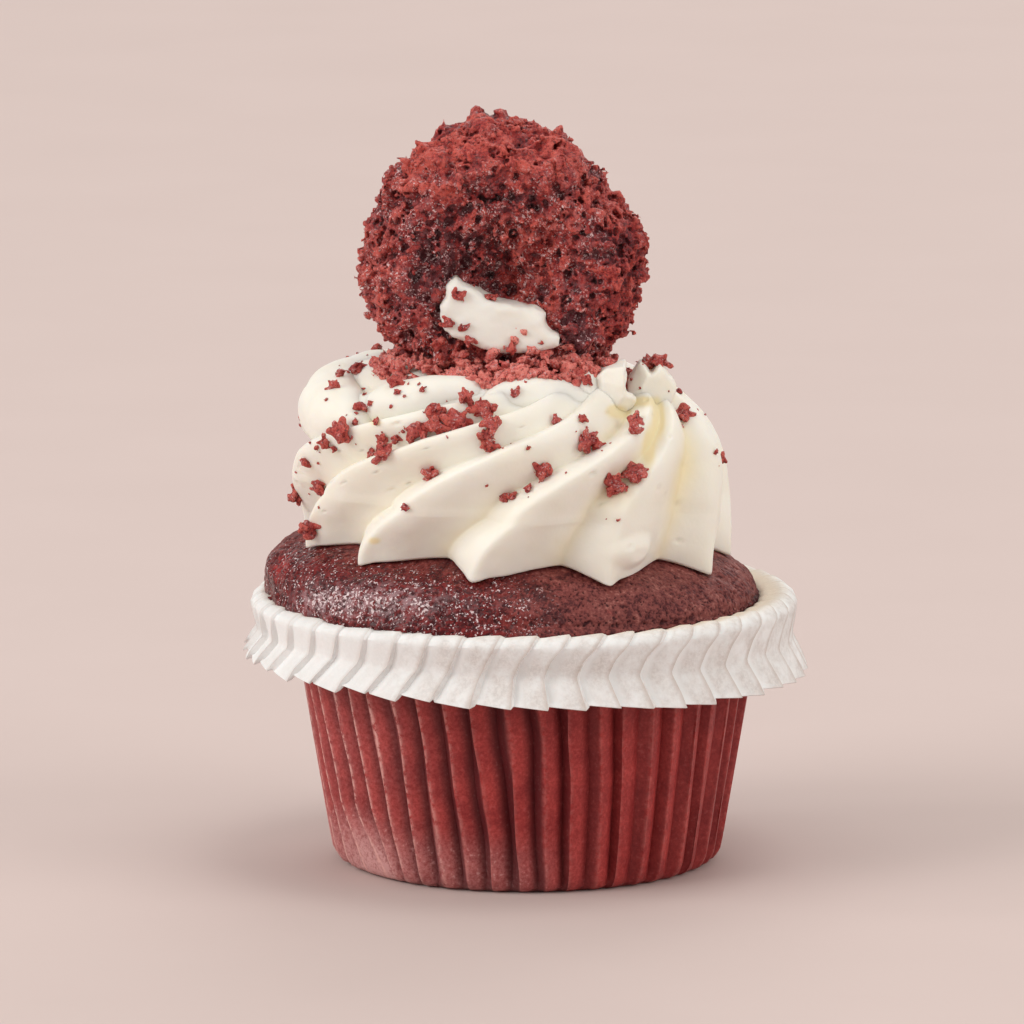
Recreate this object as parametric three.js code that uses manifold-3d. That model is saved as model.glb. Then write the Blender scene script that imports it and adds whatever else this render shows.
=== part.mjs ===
// A red velvet cupcake: a pleated paper case with its rim folded down, the domed cake baked in it, a piped
// swirl of cream frosting scattered with crumbs, and on top a torn ball of cake with a dab of cream.
//
// Millimetres, +Z up. The origin is the middle of the case's floor, and the front, with the dab, faces -Y.
// Angles round the cake are turned from +X towards +Y, so the front is at -90 degrees.

import * as THREE from "three";
import { mergeVertices } from "three/addons/utils/BufferGeometryUtils.js";
import Module from "manifold-3d";

const wasm = await Module();
wasm.setup();

const TAU = 2 * Math.PI;
const DEGREE = Math.PI / 180;
const GAP = 0.35; // clearance between one piece and the next

// Paper case
const PLEATS = 48;
const FIRST_PLEAT = -84.9 * DEGREE;
const PAPER = 0.35;
const FLOOR_RADIUS = 24;
const WALL_FOOT = { r: 25.8, z: 2.2 };
const WALL_TOP = { r: 31, z: 33 };
const RIM_TOP = { r: 35, z: 36.8 };
const RIM_OUTSIDE = { r: 36.5, z: 35.7 };
const KINK = { r: 35.3, z: 31.8 };
const HEM = { r: 37.3, z: 28.2 };
const HEM_RISE = 1.2; // the hem sits higher on the left than on the right
const WALL_PLEAT = 0.65;
const COLLAR_PLEAT = 0.7;
const RIM_LEAN = -1.7; // how far the folds have leant sideways, from the floor up to the top of the rim
const COLLAR_LEAN = -2.3; // and again from there down the collar

// A stretch of the wall, low on the left, where the pleats are pressed flat and drawn to one side
const PRESSED_TURN = -152 * DEGREE;
const PRESSED_SPREAD = 26 * DEGREE;
const PRESSED_HEIGHT = 24;
const PRESSED_DRAG = 0.3;

// Cake in the case
const CRUST = { x: -2.1, r: 33.3, z: 38 };
const DOME_RISE = 9.5;
const DOME_ROUNDNESS = 0.52;
const DOME_TILT = 0.055; // the left side rose higher
const CRUST_LUMPS = 0.25;
const SEAT_GAP = GAP + CRUST_LUMPS; // clearance under the frosting

// Frosting. Heights up the swirl are degrees round its section: FOOT at the cake, 0 at the widest, 90 at
// the top.
const FROSTING = { x: -1.9, r: 30, z: 51, rise: 18 };
const FROSTING_SQUARENESS = 2.8;
const FOOT = -22;
const FOOT_DROP = 8.1;
const FOOT_INSET = 1;
const WAIST = 3;
const SHOULDER = 37;
// Each ridge's turn at the foot, and how far it has twisted by the waist and by the shoulder
const RIDGES = [
  { foot: -160, waist: 16, shoulder: 60 },
  { foot: -134, waist: 18, shoulder: 57 },
  { foot: -100.5, waist: 14.5, shoulder: 53 },
  { foot: -64, waist: 5, shoulder: 32 },
  { foot: -26, waist: 4, shoulder: 12 },
  { foot: 5, waist: 6, shoulder: 20 },
  { foot: 43, waist: 10, shoulder: 40 },
  { foot: 84, waist: 15, shoulder: 62 },
  { foot: 122, waist: 22, shoulder: 85 },
  { foot: 163, waist: 24, shoulder: 72 },
];
const VALLEY_AT = 0.7; // share of the way from one ridge to the next
const VALLEY_DEPTH = 4.3;
const VALLEY_BEND = 0.06;
const TOE = { at: [13.9, -23.4, 45.6], radii: [3.6, 2.8, 2.2], seed: 2 };
const TORN_ENDS = [
  { at: [16.7, -8.6, 65.7], radii: [3.9, 3.6, 3.6], seed: 3 },
  { at: [10.1, -12, 65.9], radii: [3.7, 3, 2.9], seed: 11 },
];

// Torn ball of cake on top
const BALL = { x: -3, y: 1, z: 82.3, r: 19.2 };
const BALL_BACK = 0.8; // the back is flatter than a sphere
const BALL_FACE = 13.2; // from the middle to the rim of the torn face
const BALL_SEAT = 16.6; // from the middle to the flattened underside
const FACE_DISH = { x: -1, z: 82, spread: 12, depth: 2 };
const HOLLOW = { x: -3, z: 77.5, spread: 8, depth: 4 };
const CRAG = 1.1;
const CRAG_SIZE = 3.6;

// Dab of cream in the hollow
const DAB = { x: -3.6, y: -9.6, z: 75.9 };
const DAB_HALF = { x: 8, y: 3.7, z: 3.7 };
const DAB_TAPER = 0.3;
const DAB_DROOP = 13 * DEGREE;

// Crumbs. The large ones have a place of their own on the swirl, the small ones are strewn.
const LARGE_CRUMBS = [
  { turn: -59, up: 11, size: 3.6 },
  { turn: -53, up: 15, size: 3.4 },
  { turn: -65, up: 36, size: 3.4 },
  { turn: -62, up: 28, size: 2.6 },
  { turn: -43, up: 43, size: 2.3 },
  { turn: -16, up: 40, size: 2.3 },
  { turn: -82, up: 19, size: 2.6 },
  { turn: -99, up: 49, size: 3.2 },
  { turn: -97, up: 36, size: 2.9 },
  { turn: -97, up: 30, size: 2.4 },
  { turn: -107, up: 50, size: 2.4 },
  { turn: -115, up: 39, size: 3.3 },
  { turn: -107, up: 41, size: 3.3 },
  { turn: -120, up: 33, size: 2.8 },
  { turn: -129, up: 16, size: 2.8 },
  { turn: -146, up: 23, size: 3 },
  { turn: -152, up: 17, size: 2.1 },
  { turn: -170, up: 42, size: 2.2 },
  { turn: -162, up: 56, size: 2.2 },
  { turn: -163, up: 0, size: 2.8 },
  { turn: -179, up: -7, size: 2.1 },
  { turn: -115, up: 11, size: 2.1 },
  { turn: -74, up: 43, size: 2 },
];
const STREWN_CRUMBS = { count: 16, size: 1.7, from: -15, to: 165 };
const HEAP = { crumbs: 20, size: 3, radius: 14.4, from: -152, to: -52, z: 66.6 };

// Repeatable draws and noise

function draws(seed) {
  let state = seed >>> 0;
  return () => {
    state = (Math.imul(state, 1664525) + 1013904223) >>> 0;
    return state / 2 ** 32;
  };
}

function corner(i, j, k) {
  const s = Math.sin(i * 127.1 + j * 311.7 + k * 74.7) * 43758.5453;
  return 2 * (s - Math.floor(s)) - 1;
}

// Smooth noise between -1 and 1, with lumps one unit wide.
function noise(x, y, z) {
  const [i, j, k] = [x, y, z].map(Math.floor);
  const [u, v, w] = [x - i, y - j, z - k].map((t) => t * t * (3 - 2 * t));
  let sum = 0;
  for (let c = 0; c < 8; c++) {
    const [a, b, d] = [c & 1, (c >> 1) & 1, c >> 2];
    const weight = (a ? u : 1 - u) * (b ? v : 1 - v) * (d ? w : 1 - w);
    sum += weight * corner(i + a, j + b, k + d);
  }
  return sum;
}

// Solids

// A closed surface through rings of points, each turned from +X towards +Y. A ring of one point is a pole.
// Each facet is split along its shorter diagonal.
function loft(rings) {
  const points = rings.flat();
  const index = [];
  let start = 0;
  for (let k = 0; k + 1 < rings.length; k++) {
    const [a, b] = [rings[k].length, rings[k + 1].length];
    const next = start + a;
    for (let j = 0; j < Math.max(a, b); j++) {
      const [a0, a1] = [start + (j % a), start + ((j + 1) % a)];
      const [b0, b1] = [next + (j % b), next + ((j + 1) % b)];
      const ahead = points[a0].distanceTo(points[b1]) < points[a1].distanceTo(points[b0]);
      if (a > 1) index.push(a0, a1, ahead ? b1 : b0);
      if (b > 1) index.push(ahead ? a0 : a1, b1, b0);
    }
    start = next;
  }
  return new THREE.BufferGeometry().setFromPoints(points).setIndex(index);
}

function solidOf(geometry) {
  const bare = geometry.index ? geometry.clone() : geometry;
  for (const name of ["normal", "uv"]) bare.deleteAttribute(name);
  const merged = mergeVertices(bare, 1e-4);
  return new wasm.Manifold(
    new wasm.Mesh({
      numProp: 3,
      vertProperties: merged.attributes.position.array,
      triVerts: new Uint32Array(merged.index.array),
    }),
  );
}

// The largest body of a solid, as a geometry: what a cut leaves loose is dropped.
function geometryOf(solid) {
  const bodies = solid.decompose().sort((a, b) => b.volume() - a.volume());
  const mesh = bodies[0].getMesh();
  return new THREE.BufferGeometry()
    .setAttribute("position", new THREE.BufferAttribute(mesh.vertProperties, 3))
    .setIndex(new THREE.BufferAttribute(mesh.triVerts, 1));
}

function mesh(name, geometry, color, roughness) {
  const material = new THREE.MeshStandardMaterial({ color, roughness, metalness: 0 });
  geometry.computeVertexNormals();
  const made = new THREE.Mesh(geometry, material);
  made.name = name;
  return made;
}

// Paper case

// The sheet's middle line from the floor to the hem, with the height of its pleats, the sideways lean of
// their folds, and how far each pleat's valley lies from the middle between two folds. The collar is the
// sheet turned over, so its valleys are the folds that stand out, each over the face of the one before it.
function caseLine() {
  const middle = PAPER / 2;
  const between = (a, b, t) => ({ r: a.r + (b.r - a.r) * t, z: a.z + (b.z - a.z) * t });
  const wall = { pleat: WALL_PLEAT, lean: 0, skew: -0.05 };
  const rim = { pleat: WALL_PLEAT, lean: RIM_LEAN, skew: -0.15 };
  const collar = (share) => ({ pleat: COLLAR_PLEAT, lean: RIM_LEAN + COLLAR_LEAN * share, skew: -0.38 });
  return [
    { r: FLOOR_RADIUS, z: middle, pleat: 0, lean: 0, skew: 0 },
    { r: FLOOR_RADIUS + 1.3, z: middle + 0.45, ...wall, pleat: WALL_PLEAT / 3 },
    { ...WALL_FOOT, ...wall },
    { ...between(WALL_FOOT, WALL_TOP, 0.45), ...wall },
    { ...WALL_TOP, ...wall, lean: RIM_LEAN * 0.6 },
    { r: 32.9, z: 35.6, ...rim, lean: RIM_LEAN * 0.85 },
    { ...RIM_TOP, ...rim, pleat: 0.12 },
    { ...RIM_OUTSIDE, ...collar(0.1), pleat: 0.3 },
    { ...between(RIM_OUTSIDE, KINK, 0.45), ...collar(0.5) },
    { ...KINK, ...collar(1) },
    { ...HEM, ...collar(1.1) },
  ];
}

// Points out of the sheet's outer side, in the plane of the line.
function sheetNormal(line, k) {
  const a = line[Math.max(0, k - 1)];
  const b = line[Math.min(line.length - 1, k + 1)];
  const length = Math.hypot(b.r - a.r, b.z - a.z);
  return k === 0 ? { r: 0, z: -1 } : { r: (b.z - a.z) / length, z: (a.r - b.r) / length };
}

// How strongly the wall is pressed flat here, from 0 to 1.
function pressed(turn, z) {
  const away = Math.atan2(Math.sin(turn - PRESSED_TURN), Math.cos(turn - PRESSED_TURN));
  return Math.exp(-((away / PRESSED_SPREAD) ** 2)) * Math.max(0, 1 - z / PRESSED_HEIGHT);
}

function caseRing(line, k, side) {
  const at = line[k];
  const normal = sheetNormal(line, k);
  const ring = [];
  for (let j = 0; j < 2 * PLEATS; j++) {
    const valley = j % 2;
    const share = Math.floor(j / 2) + valley * (0.5 + at.skew);
    const straight = FIRST_PLEAT + (share / PLEATS) * TAU;
    const flat = at.z > PAPER ? pressed(straight, at.z) : 0;
    const turn = straight + at.lean / at.r + PRESSED_DRAG * flat;
    const height = (valley ? -1 : 1) * at.pleat * (1 - 0.8 * flat);
    const out = height + (side * PAPER) / 2;
    const hem = k >= line.length - 2 ? (k - line.length + 3) / 2 : 0;
    const r = at.r + out * normal.r;
    const z = at.z + out * normal.z - hem * HEM_RISE * Math.cos(turn);
    ring.push(new THREE.Vector3(r * Math.cos(turn), r * Math.sin(turn), z));
  }
  return ring;
}

function paperCase() {
  const line = caseLine();
  const outer = line.map((_, k) => caseRing(line, k, 1));
  const inner = line.map((_, k) => caseRing(line, k, -1)).reverse();
  const under = [new THREE.Vector3(0, 0, 0)];
  const inside = [new THREE.Vector3(0, 0, PAPER)];
  return loft([under, ...outer, ...inner, inside]);
}

// Cake

// Height of the cake's top over a point.
function domeAt(x, y) {
  const share = Math.min(1, Math.hypot(x - CRUST.x, y) / CRUST.r);
  const rise = DOME_RISE * (1 - share ** 2) ** DOME_ROUNDNESS;
  return CRUST.z + rise - DOME_TILT * x;
}

// The lowest that the cake can lie over the sheet's rim, a distance r from the case's middle.
function rimAt(line, r) {
  const k = line.findIndex((at, i) => i > 3 && line[i + 1].r > r);
  const [a, b] = [line[k], line[k + 1]];
  const share = Math.max(0, (r - a.r) / (b.r - a.r));
  const mix = (key) => a[key] + (b[key] - a[key]) * share;
  const steepness = Math.hypot(b.r - a.r, b.z - a.z) / (b.r - a.r);
  return mix("z") + (mix("pleat") + PAPER / 2 + GAP) * steepness;
}

function cake() {
  const columns = 54;
  const line = caseLine();
  const ringAt = (r, heightOf, x) =>
    Array.from({ length: columns }, (_, j) => {
      const turn = (j / columns) * TAU;
      const at = [x + r * Math.cos(turn), r * Math.sin(turn)];
      return new THREE.Vector3(...at, heightOf(...at));
    });
  const floor = PAPER + GAP;
  const rings = [[new THREE.Vector3(0, 0, floor)], ringAt(FLOOR_RADIUS - 1.2, () => floor, 0)];
  for (const at of [line[2], line[4]]) {
    rings.push(ringAt(at.r - at.pleat - PAPER / 2 - GAP, () => at.z, 0));
  }
  const lip = (x, y) => rimAt(line, Math.hypot(x, y));
  const side = (x, y) => Math.max(lip(x, y) + 0.3, CRUST.z - 0.6 - DOME_TILT * x);
  const lumpy = (x, y) => domeAt(x, y) + CRUST_LUMPS * noise(x / 5, y / 5, 0);
  rings.push(ringAt(CRUST.r - 2, lip, CRUST.x / 4));
  rings.push(ringAt(CRUST.r - 1.2, lip, CRUST.x / 2));
  rings.push(ringAt(CRUST.r - 0.6, lip, CRUST.x));
  rings.push(ringAt(CRUST.r - 0.1, side, CRUST.x));
  for (const share of [0.998, 0.975, 0.93, 0.86, 0.74, 0.56, 0.3]) {
    rings.push(ringAt(CRUST.r * share, lumpy, CRUST.x));
  }
  rings.push([new THREE.Vector3(CRUST.x, 0, domeAt(CRUST.x, 0))]);
  return loft(rings);
}

// Frosting

// The turn, in degrees, of a ridge's crest at height u.
function crestTurn(ridge, u) {
  const { foot, waist, shoulder } = RIDGES[ridge % RIDGES.length];
  if (u < WAIST) return foot + waist * ((u - FOOT) / (WAIST - FOOT)) ** 1.8;
  return foot + waist + ((shoulder - waist) * (u - WAIST)) / (SHOULDER - WAIST);
}

function spacing(ridge, u) {
  return (((crestTurn(ridge + 1, u) - crestTurn(ridge, u)) % 360) + 360) % 360;
}

// The swirl's outline through its crests.
function crestAt(u) {
  const down = u / FOOT;
  if (down > 0) return { r: FROSTING.r - FOOT_INSET * down ** 2, z: FROSTING.z - FOOT_DROP * down };
  const power = 2 / FROSTING_SQUARENESS;
  const r = FROSTING.r * Math.cos(u * DEGREE) ** power;
  return { r, z: FROSTING.z + FROSTING.rise * Math.sin(u * DEGREE) ** power };
}

// A point of the swirl at height u, a share of the way from one ridge to the next.
function swirlPoint(ridge, share, u) {
  const crest = crestAt(u);
  const wide = spacing(ridge, u);
  const turn = (crestTurn(ridge, u) + wide * share) * DEGREE;
  const side = share < VALLEY_AT ? share / VALLEY_AT : (1 - share) / (1 - VALLEY_AT);
  const fade = (1 - Math.max(0, u) / 90) ** 0.6 * Math.min(1, wide / 30);
  const depth = VALLEY_DEPTH * fade * (side - VALLEY_BEND * Math.sin(TAU * side));
  const slope = Math.max(0, u) * DEGREE;
  const out = crest.r - depth * Math.cos(slope);
  const [x, y] = [FROSTING.x + out * Math.cos(turn), out * Math.sin(turn)];
  const settle = Math.max(0, u / FOOT) * (domeAt(x, y) + SEAT_GAP - (crestAt(FOOT).z - DOME_TILT * x));
  return new THREE.Vector3(x, y, crest.z - DOME_TILT * x - depth * Math.sin(slope) + settle);
}

function swirl() {
  const shares = [0, 0.14, 0.36, 0.56, 0.7, 0.82, 0.93];
  const rows = [-22, -14, -6, 2, 9, 16, 23, 30, 37, 45, 54, 64, 76];
  const ring = (u) => RIDGES.flatMap((_, ridge) => shares.map((share) => swirlPoint(ridge, share, u)));
  const foot = ring(FOOT);
  const under = [0.6, 0.88].map((part) =>
    foot.map((p) => {
      const x = FROSTING.x + (p.x - FROSTING.x) * part;
      const y = p.y * part;
      return new THREE.Vector3(x, y, domeAt(x, y) + SEAT_GAP);
    }),
  );
  const low = new THREE.Vector3(FROSTING.x, 0, domeAt(FROSTING.x, 0) + SEAT_GAP);
  const top = new THREE.Vector3(FROSTING.x, 0, crestAt(90).z - DOME_TILT * FROSTING.x);
  return loft([[low], ...under, ...rows.map(ring), [top]]);
}

// A rough lump with its middle at the origin.
function lump(radii, detail, roughness, seed) {
  const geometry = new THREE.IcosahedronGeometry(1, detail);
  const place = geometry.attributes.position;
  const p = new THREE.Vector3();
  for (let i = 0; i < place.count; i++) {
    p.fromBufferAttribute(place, i);
    p.multiplyScalar(1 + roughness * noise(p.x * 1.7 + seed, p.y * 1.7 + 2 * seed, p.z * 1.7));
    place.setXYZ(i, p.x * radii[0], p.y * radii[1], p.z * radii[2]);
  }
  return geometry;
}

// Crumbs

// The point of the swirl at a turn in degrees and height u.
function swirlAt(degrees, u) {
  const past = (ridge) => (((degrees - crestTurn(ridge, u)) % 360) + 360) % 360;
  const ridge = RIDGES.findIndex((_, k) => past(k) < spacing(k, u));
  return swirlPoint(ridge, past(ridge) / spacing(ridge, u), u);
}

function crumb(size, at, seed) {
  const draw = draws(seed);
  const radii = [0.5, 0.5, 0.38].map((half) => size * half * (0.85 + 0.35 * draw()));
  const geometry = lump(radii, 0, 0.4, seed);
  geometry.rotateZ(draw() * TAU);
  geometry.translate(at.x, at.y, at.z + size * 0.12);
  return solidOf(geometry);
}

function crumbs() {
  const draw = draws(7);
  const made = LARGE_CRUMBS.map((c, i) => crumb(c.size * 1.1, swirlAt(c.turn, c.up), 100 + i));
  for (let i = 0; i < STREWN_CRUMBS.count; i++) {
    const { from, to, size } = STREWN_CRUMBS;
    const at = swirlAt(from + (to - from) * draw(), 5 + 50 * draw());
    made.push(crumb(size * (0.8 + 0.6 * draw()), at, 200 + i));
  }
  for (let i = 0; i < HEAP.crumbs; i++) {
    const turn = (HEAP.from + ((HEAP.to - HEAP.from) * (i + 0.5)) / HEAP.crumbs) * DEGREE;
    const r = HEAP.radius + 1.2 * (draw() - 0.5);
    const at = new THREE.Vector3(BALL.x + r * Math.cos(turn), BALL.y + r * Math.sin(turn), HEAP.z);
    at.z += 1.6 * (draw() - 0.5) - DOME_TILT * at.x;
    made.push(crumb(HEAP.size * (0.85 + 0.4 * draw()), at, 300 + i));
  }
  return made;
}

// Torn ball and dab of cream. grow widens them all over, for cutting the room that they need.

function dent(place, x, z) {
  return place.depth * Math.exp(-((x - place.x) ** 2 + (z - place.z) ** 2) / place.spread ** 2);
}

function ball(grow) {
  const geometry = new THREE.IcosahedronGeometry(1, 9);
  const place = geometry.attributes.position;
  const d = new THREE.Vector3();
  for (let i = 0; i < place.count; i++) {
    d.fromBufferAttribute(place, i).normalize();
    const round = d.y > 0 ? BALL.r / Math.hypot(d.x, d.z, d.y / BALL_BACK) : BALL.r;
    const flat = d.y < 0 ? Math.min(round, BALL_FACE / -d.y) : round;
    const [x, z] = [BALL.x + d.x * flat, BALL.z + d.z * flat];
    const face = d.y < 0 ? (BALL_FACE - dent(FACE_DISH, x, z) - dent(HOLLOW, x, z)) / -d.y : Infinity;
    const seat = d.z < 0 ? BALL_SEAT / -d.z : Infinity;
    const bare = Math.min(round, face, seat);
    const coarse = noise(...d.toArray().map((t) => (t * bare) / CRAG_SIZE));
    const fine = noise(...d.toArray().map((t) => (t * bare) / CRAG_SIZE * 2 + 5));
    const crag = CRAG * (coarse + 0.8 * fine) * (seat < BALL.r ? 0.3 : 1);
    const r = bare + crag + grow;
    place.setXYZ(i, BALL.x + d.x * r, BALL.y + d.y * r, BALL.z + d.z * r);
  }
  return geometry;
}

function dab(grow) {
  const geometry = lump([1, 1, 1], 3, 0.24, 5);
  const place = geometry.attributes.position;
  const p = new THREE.Vector3();
  for (let i = 0; i < place.count; i++) {
    p.fromBufferAttribute(place, i);
    p.z *= 1 - DAB_TAPER * p.x;
    place.setXYZ(i, p.x * (DAB_HALF.x + grow), p.y * (DAB_HALF.y + grow), p.z * (DAB_HALF.z + grow));
  }
  geometry.rotateY(DAB_DROOP);
  return geometry.translate(DAB.x, DAB.y, DAB.z);
}

// Assembly

const dabRoom = solidOf(dab(GAP));
const ballRoom = solidOf(ball(GAP));

let frosting = solidOf(swirl());
for (const part of [TOE, ...TORN_ENDS]) {
  frosting = frosting.add(solidOf(lump(part.radii, 2, 0.4, part.seed).translate(...part.at)));
}
for (const one of crumbs()) frosting = frosting.add(one);
frosting = frosting.subtract(ballRoom).subtract(dabRoom);

const cupcake = new THREE.Group();
cupcake.add(
  mesh("paper_case", paperCase(), "#e9e3dc", 0.75),
  mesh("cake_base", cake(), "#4a1a1c", 0.5),
  mesh("frosting", geometryOf(frosting), "#f3ead6", 0.45),
  mesh("cake_top", geometryOf(solidOf(ball(0)).subtract(dabRoom)), "#6d1c20", 0.8),
  mesh("cream_dab", dab(0), "#f5efe4", 0.45),
);

export default cupcake;
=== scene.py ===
"""Looks of a red velvet cupcake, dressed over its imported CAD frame.

Shapes are worked out in millimetres, +Z up, with the front facing -Y, as in the part. Each
piece stands for one node of the part, follows the same dimensions, and adds what the solids
leave out: the crumb's pores, the crust's skin, the folded paper and the strewn crumbs.
"""

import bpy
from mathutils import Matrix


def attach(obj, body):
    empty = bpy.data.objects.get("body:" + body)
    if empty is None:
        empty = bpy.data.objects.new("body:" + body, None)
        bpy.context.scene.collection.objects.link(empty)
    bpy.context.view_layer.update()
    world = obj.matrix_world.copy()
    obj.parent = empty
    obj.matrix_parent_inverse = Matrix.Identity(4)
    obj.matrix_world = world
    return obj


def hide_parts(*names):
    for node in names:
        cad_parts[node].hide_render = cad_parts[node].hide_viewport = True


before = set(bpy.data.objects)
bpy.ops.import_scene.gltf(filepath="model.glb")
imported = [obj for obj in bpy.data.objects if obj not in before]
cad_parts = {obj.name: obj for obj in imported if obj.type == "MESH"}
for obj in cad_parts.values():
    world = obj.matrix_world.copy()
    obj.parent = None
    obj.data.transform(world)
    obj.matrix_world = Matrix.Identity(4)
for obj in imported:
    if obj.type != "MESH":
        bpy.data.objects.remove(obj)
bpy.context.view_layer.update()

import copy
import math

import bpy
import numpy as np
from mathutils import Vector
from mathutils.bvhtree import BVHTree

MM = 0.001
TAU = 2 * math.pi

# Paper case: stations as in the part, with folds that are pressed flatter and lean more
PLEATS = 48
PLEAT_COLUMNS = 12
FIRST_PLEAT = math.radians(-84.9)
FLOOR_RADIUS = 24
WALL_FOOT = (25.8, 2.2)
WALL_TOP = (31, 33)
RIM_TOP = (35, 36.8)
RIM_OUTSIDE = (36.5, 35.7)
KINK = (35.3, 31.8)
HEM = (37.3, 28.2)
HEM_RISE = 1.2
WALL_PLEAT = 0.65
COLLAR_PLEAT = 0.42
RIM_LEAN = -1.7
WALL_VALLEY = 0.72  # where the valley lies between one crest, 0, and the next, 1
COLLAR_VALLEY = 0.92
# The patch where the wall's foot is pressed in
PRESSED_TURN = math.radians(-147)
PRESSED_SPREAD = math.radians(12)
PRESSED_HEIGHT = 10
PRESSED_DRAG = 0.12
SHEET = 0.22  # thickness, with a little body so that its edge shows

# Cake in the case, as in the part
CRUST_X, CRUST_R, CRUST_Z = -2.1, 33.3, 38
DOME_RISE = 9.5
DOME_ROUNDNESS = 0.52
DOME_TILT = 0.055
SEAT_GAP = 0.6
CRUST_COLUMNS = 860
CRUST_PITS = 4200
SIDE_LOW = 36.4
# How far the side stands out in front and behind: (z, how far)
BULGE = [(SIDE_LOW, 0.7), (36.6, 1.3), (36.9, 1.35), (37.3, 1), (37.7, 0.45), (38, 0)]
# Rings inside the case: (radius, z, x of the middle)
HIDDEN_RINGS = [
    (22.8, 0.8, 0), (24.6, 2.2, 0), (29.6, 33, 0),
    (31.3, SIDE_LOW, CRUST_X / 4), (32.6, 37, CRUST_X * 0.8),
]
TORN_SPOT = ((-34, -9, 42), (2.4, 4, 2.6))  # middle, half sizes

# Frosting, as in the part
FROST_X, FROST_R, FROST_Z, FROST_RISE = -1.9, 30, 51, 18
SQUARENESS = 2.8
FOOT, WAIST, SHOULDER = -22, 3, 37
FOOT_DROP = 8.1
FOOT_INSET = 1
RIDGE_COLUMNS = 44
BUBBLES = 90
SOFT_CREST = 8  # the crest on the far left, where the stroke swelled
# Each ridge: (turn at the foot, twist by the waist, twist by the shoulder)
RIDGES = [
    (-160, 16, 60), (-134, 18, 57), (-100.5, 14.5, 53), (-64, 5, 32), (-26, 4, 12), (5, 6, 20),
    (43, 10, 40), (84, 15, 62), (122, 22, 85), (163, 24, 72),
]
VALLEY_AT = 0.7
VALLEY_DEPTH = 4.3
VALLEY_BEND = 0.06

# Torn ball of cake, as in the part
BALL = np.array([-3, 1, 82.3])
BALL_R = 19.2
BALL_BACK = 0.8
BALL_FACE = 13.2
BALL_SEAT = 16.6
FACE_DISH = (-1, 82, 12, 2)  # x, z, spread, depth
HOLLOW = (-3, 77.5, 8, 4)
BALL_FLOOR, BALL_TOP = 63.5, 104
FINE_STEP, COARSE_STEP = 0.25, 0.53
PART_CUTS, PART_OVERLAP = (-25, -9.5, 3.5, 20), 0.3
HOLLOWS, CRACKS, GRAINS, PORES = 300, 420, 8500, 13500
CROWN = 93  # above it the crumb is closed, with small hollows and few pores
# Painted light and shade on the torn face, brighter or, below 0, darker in its hollow and cracks:
# (x, z, half width, half height, how much)
SHADES = [
    (-6.5, 84.6, 3.6, 3.2, -0.8), (-14, 86, 5, 5, -0.35), (-16.5, 76, 4.5, 5, -0.45),
    (-10.5, 76, 1.5, 4, -0.8), (6.6, 71, 1.6, 4.5, -1.5), (7.5, 81, 3, 3.5, -0.35),
    (14, 84, 5, 12, -0.35), (0.5, 84.5, 3, 3.5, 0.45), (-13, 94.5, 4, 3.5, 0.5),
    (-21, 80, 2.5, 9, 0.5), (-1, 81, 9, 9, 0.3),
]
# Where the torn lumps stand out less: (x, z, half width, half height, how much)
DENTS = [
    (11, 96, 7, 6, 2.6), (-20.5, 89, 5, 5, 1.4), (14.5, 91, 3, 3, 1.7), (-12, 101, 2.5, 2.5, 1.3),
]
CRAG = 1.1
CRAG_SIZE = 3.6

# Crumbs with a place of their own: (x, z) where the line of sight to each crosses the middle
# plane, and size
SWIRL_CRUMBS = [
    (-25.3, 66.2, 1.4), (-22.7, 66.9, 2.2), (-26.1, 64.6, 1.9), (-17.6, 65.1, 1.9),
    (-19.2, 67.9, 0.9), (-16.9, 67.9, 1.4), (-21.9, 63.6, 0.6), (-22.5, 61.7, 1.7),
    (-21.1, 62.4, 0.8), (-23.2, 59.8, 0.8), (-24.9, 58.6, 3.1), (-27.1, 57.2, 2.2),
    (-28.3, 56.4, 0.9), (-26, 56.3, 1.1), (-29.7, 54.4, 1.4), (-17.5, 63.9, 0.8),
    (-14, 64.3, 0.9), (-8.1, 62.6, 2.7), (-20.3, 59.9, 0.8), (-12.7, 61.3, 2.4),
    (-12.1, 59.9, 3.2), (-9.3, 59.8, 3.2), (-14.9, 58.6, 2.9), (-13.7, 59, 1.6),
    (-19.5, 57.6, 1.4), (-17.6, 57.6, 1.4), (-19.3, 55.4, 2.7), (-20.8, 55.7, 1.5), (-6, 61.4, 3),
    (-5, 59, 3.1), (-5.1, 56.8, 2.2), (-5.7, 58, 2.2), (-31, 49.9, 2.1), (-27.7, 51, 2.8),
    (-29.3, 45.4, 2.6), (-16.4, 48.2, 1.1), (-12.9, 52.3, 2.4), (2, 53.3, 2.5), (-2.9, 49.4, 1.4),
    (-1.9, 49.6, 1.2), (0.3, 50.6, 1.1), (0.2, 56.3, 0.7), (3.9, 59.9, 1.6), (7.5, 60.2, 1.3),
    (7.6, 57.1, 2.6), (8.7, 57.8, 1.6), (9.8, 56.4, 2.1), (14.8, 59.9, 1.9), (14.7, 58.6, 1.8),
    (21.2, 60.8, 2.3), (11.3, 52.1, 2.6), (12.3, 50.4, 2.8), (14.5, 52.5, 3), (15.7, 53, 1.6),
    (12.4, 46.4, 0.5), (25.5, 55.7, 0.7), (8, 65.5, 1.3), (-1.5, 63.9, 1.3), (20.5, 64, 1),
    (18, 67.9, 2.2), (17.1, 67.4, 1.8), (15.4, 68.9, 2.6), (16.1, 67.8, 1.8),
]
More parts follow.
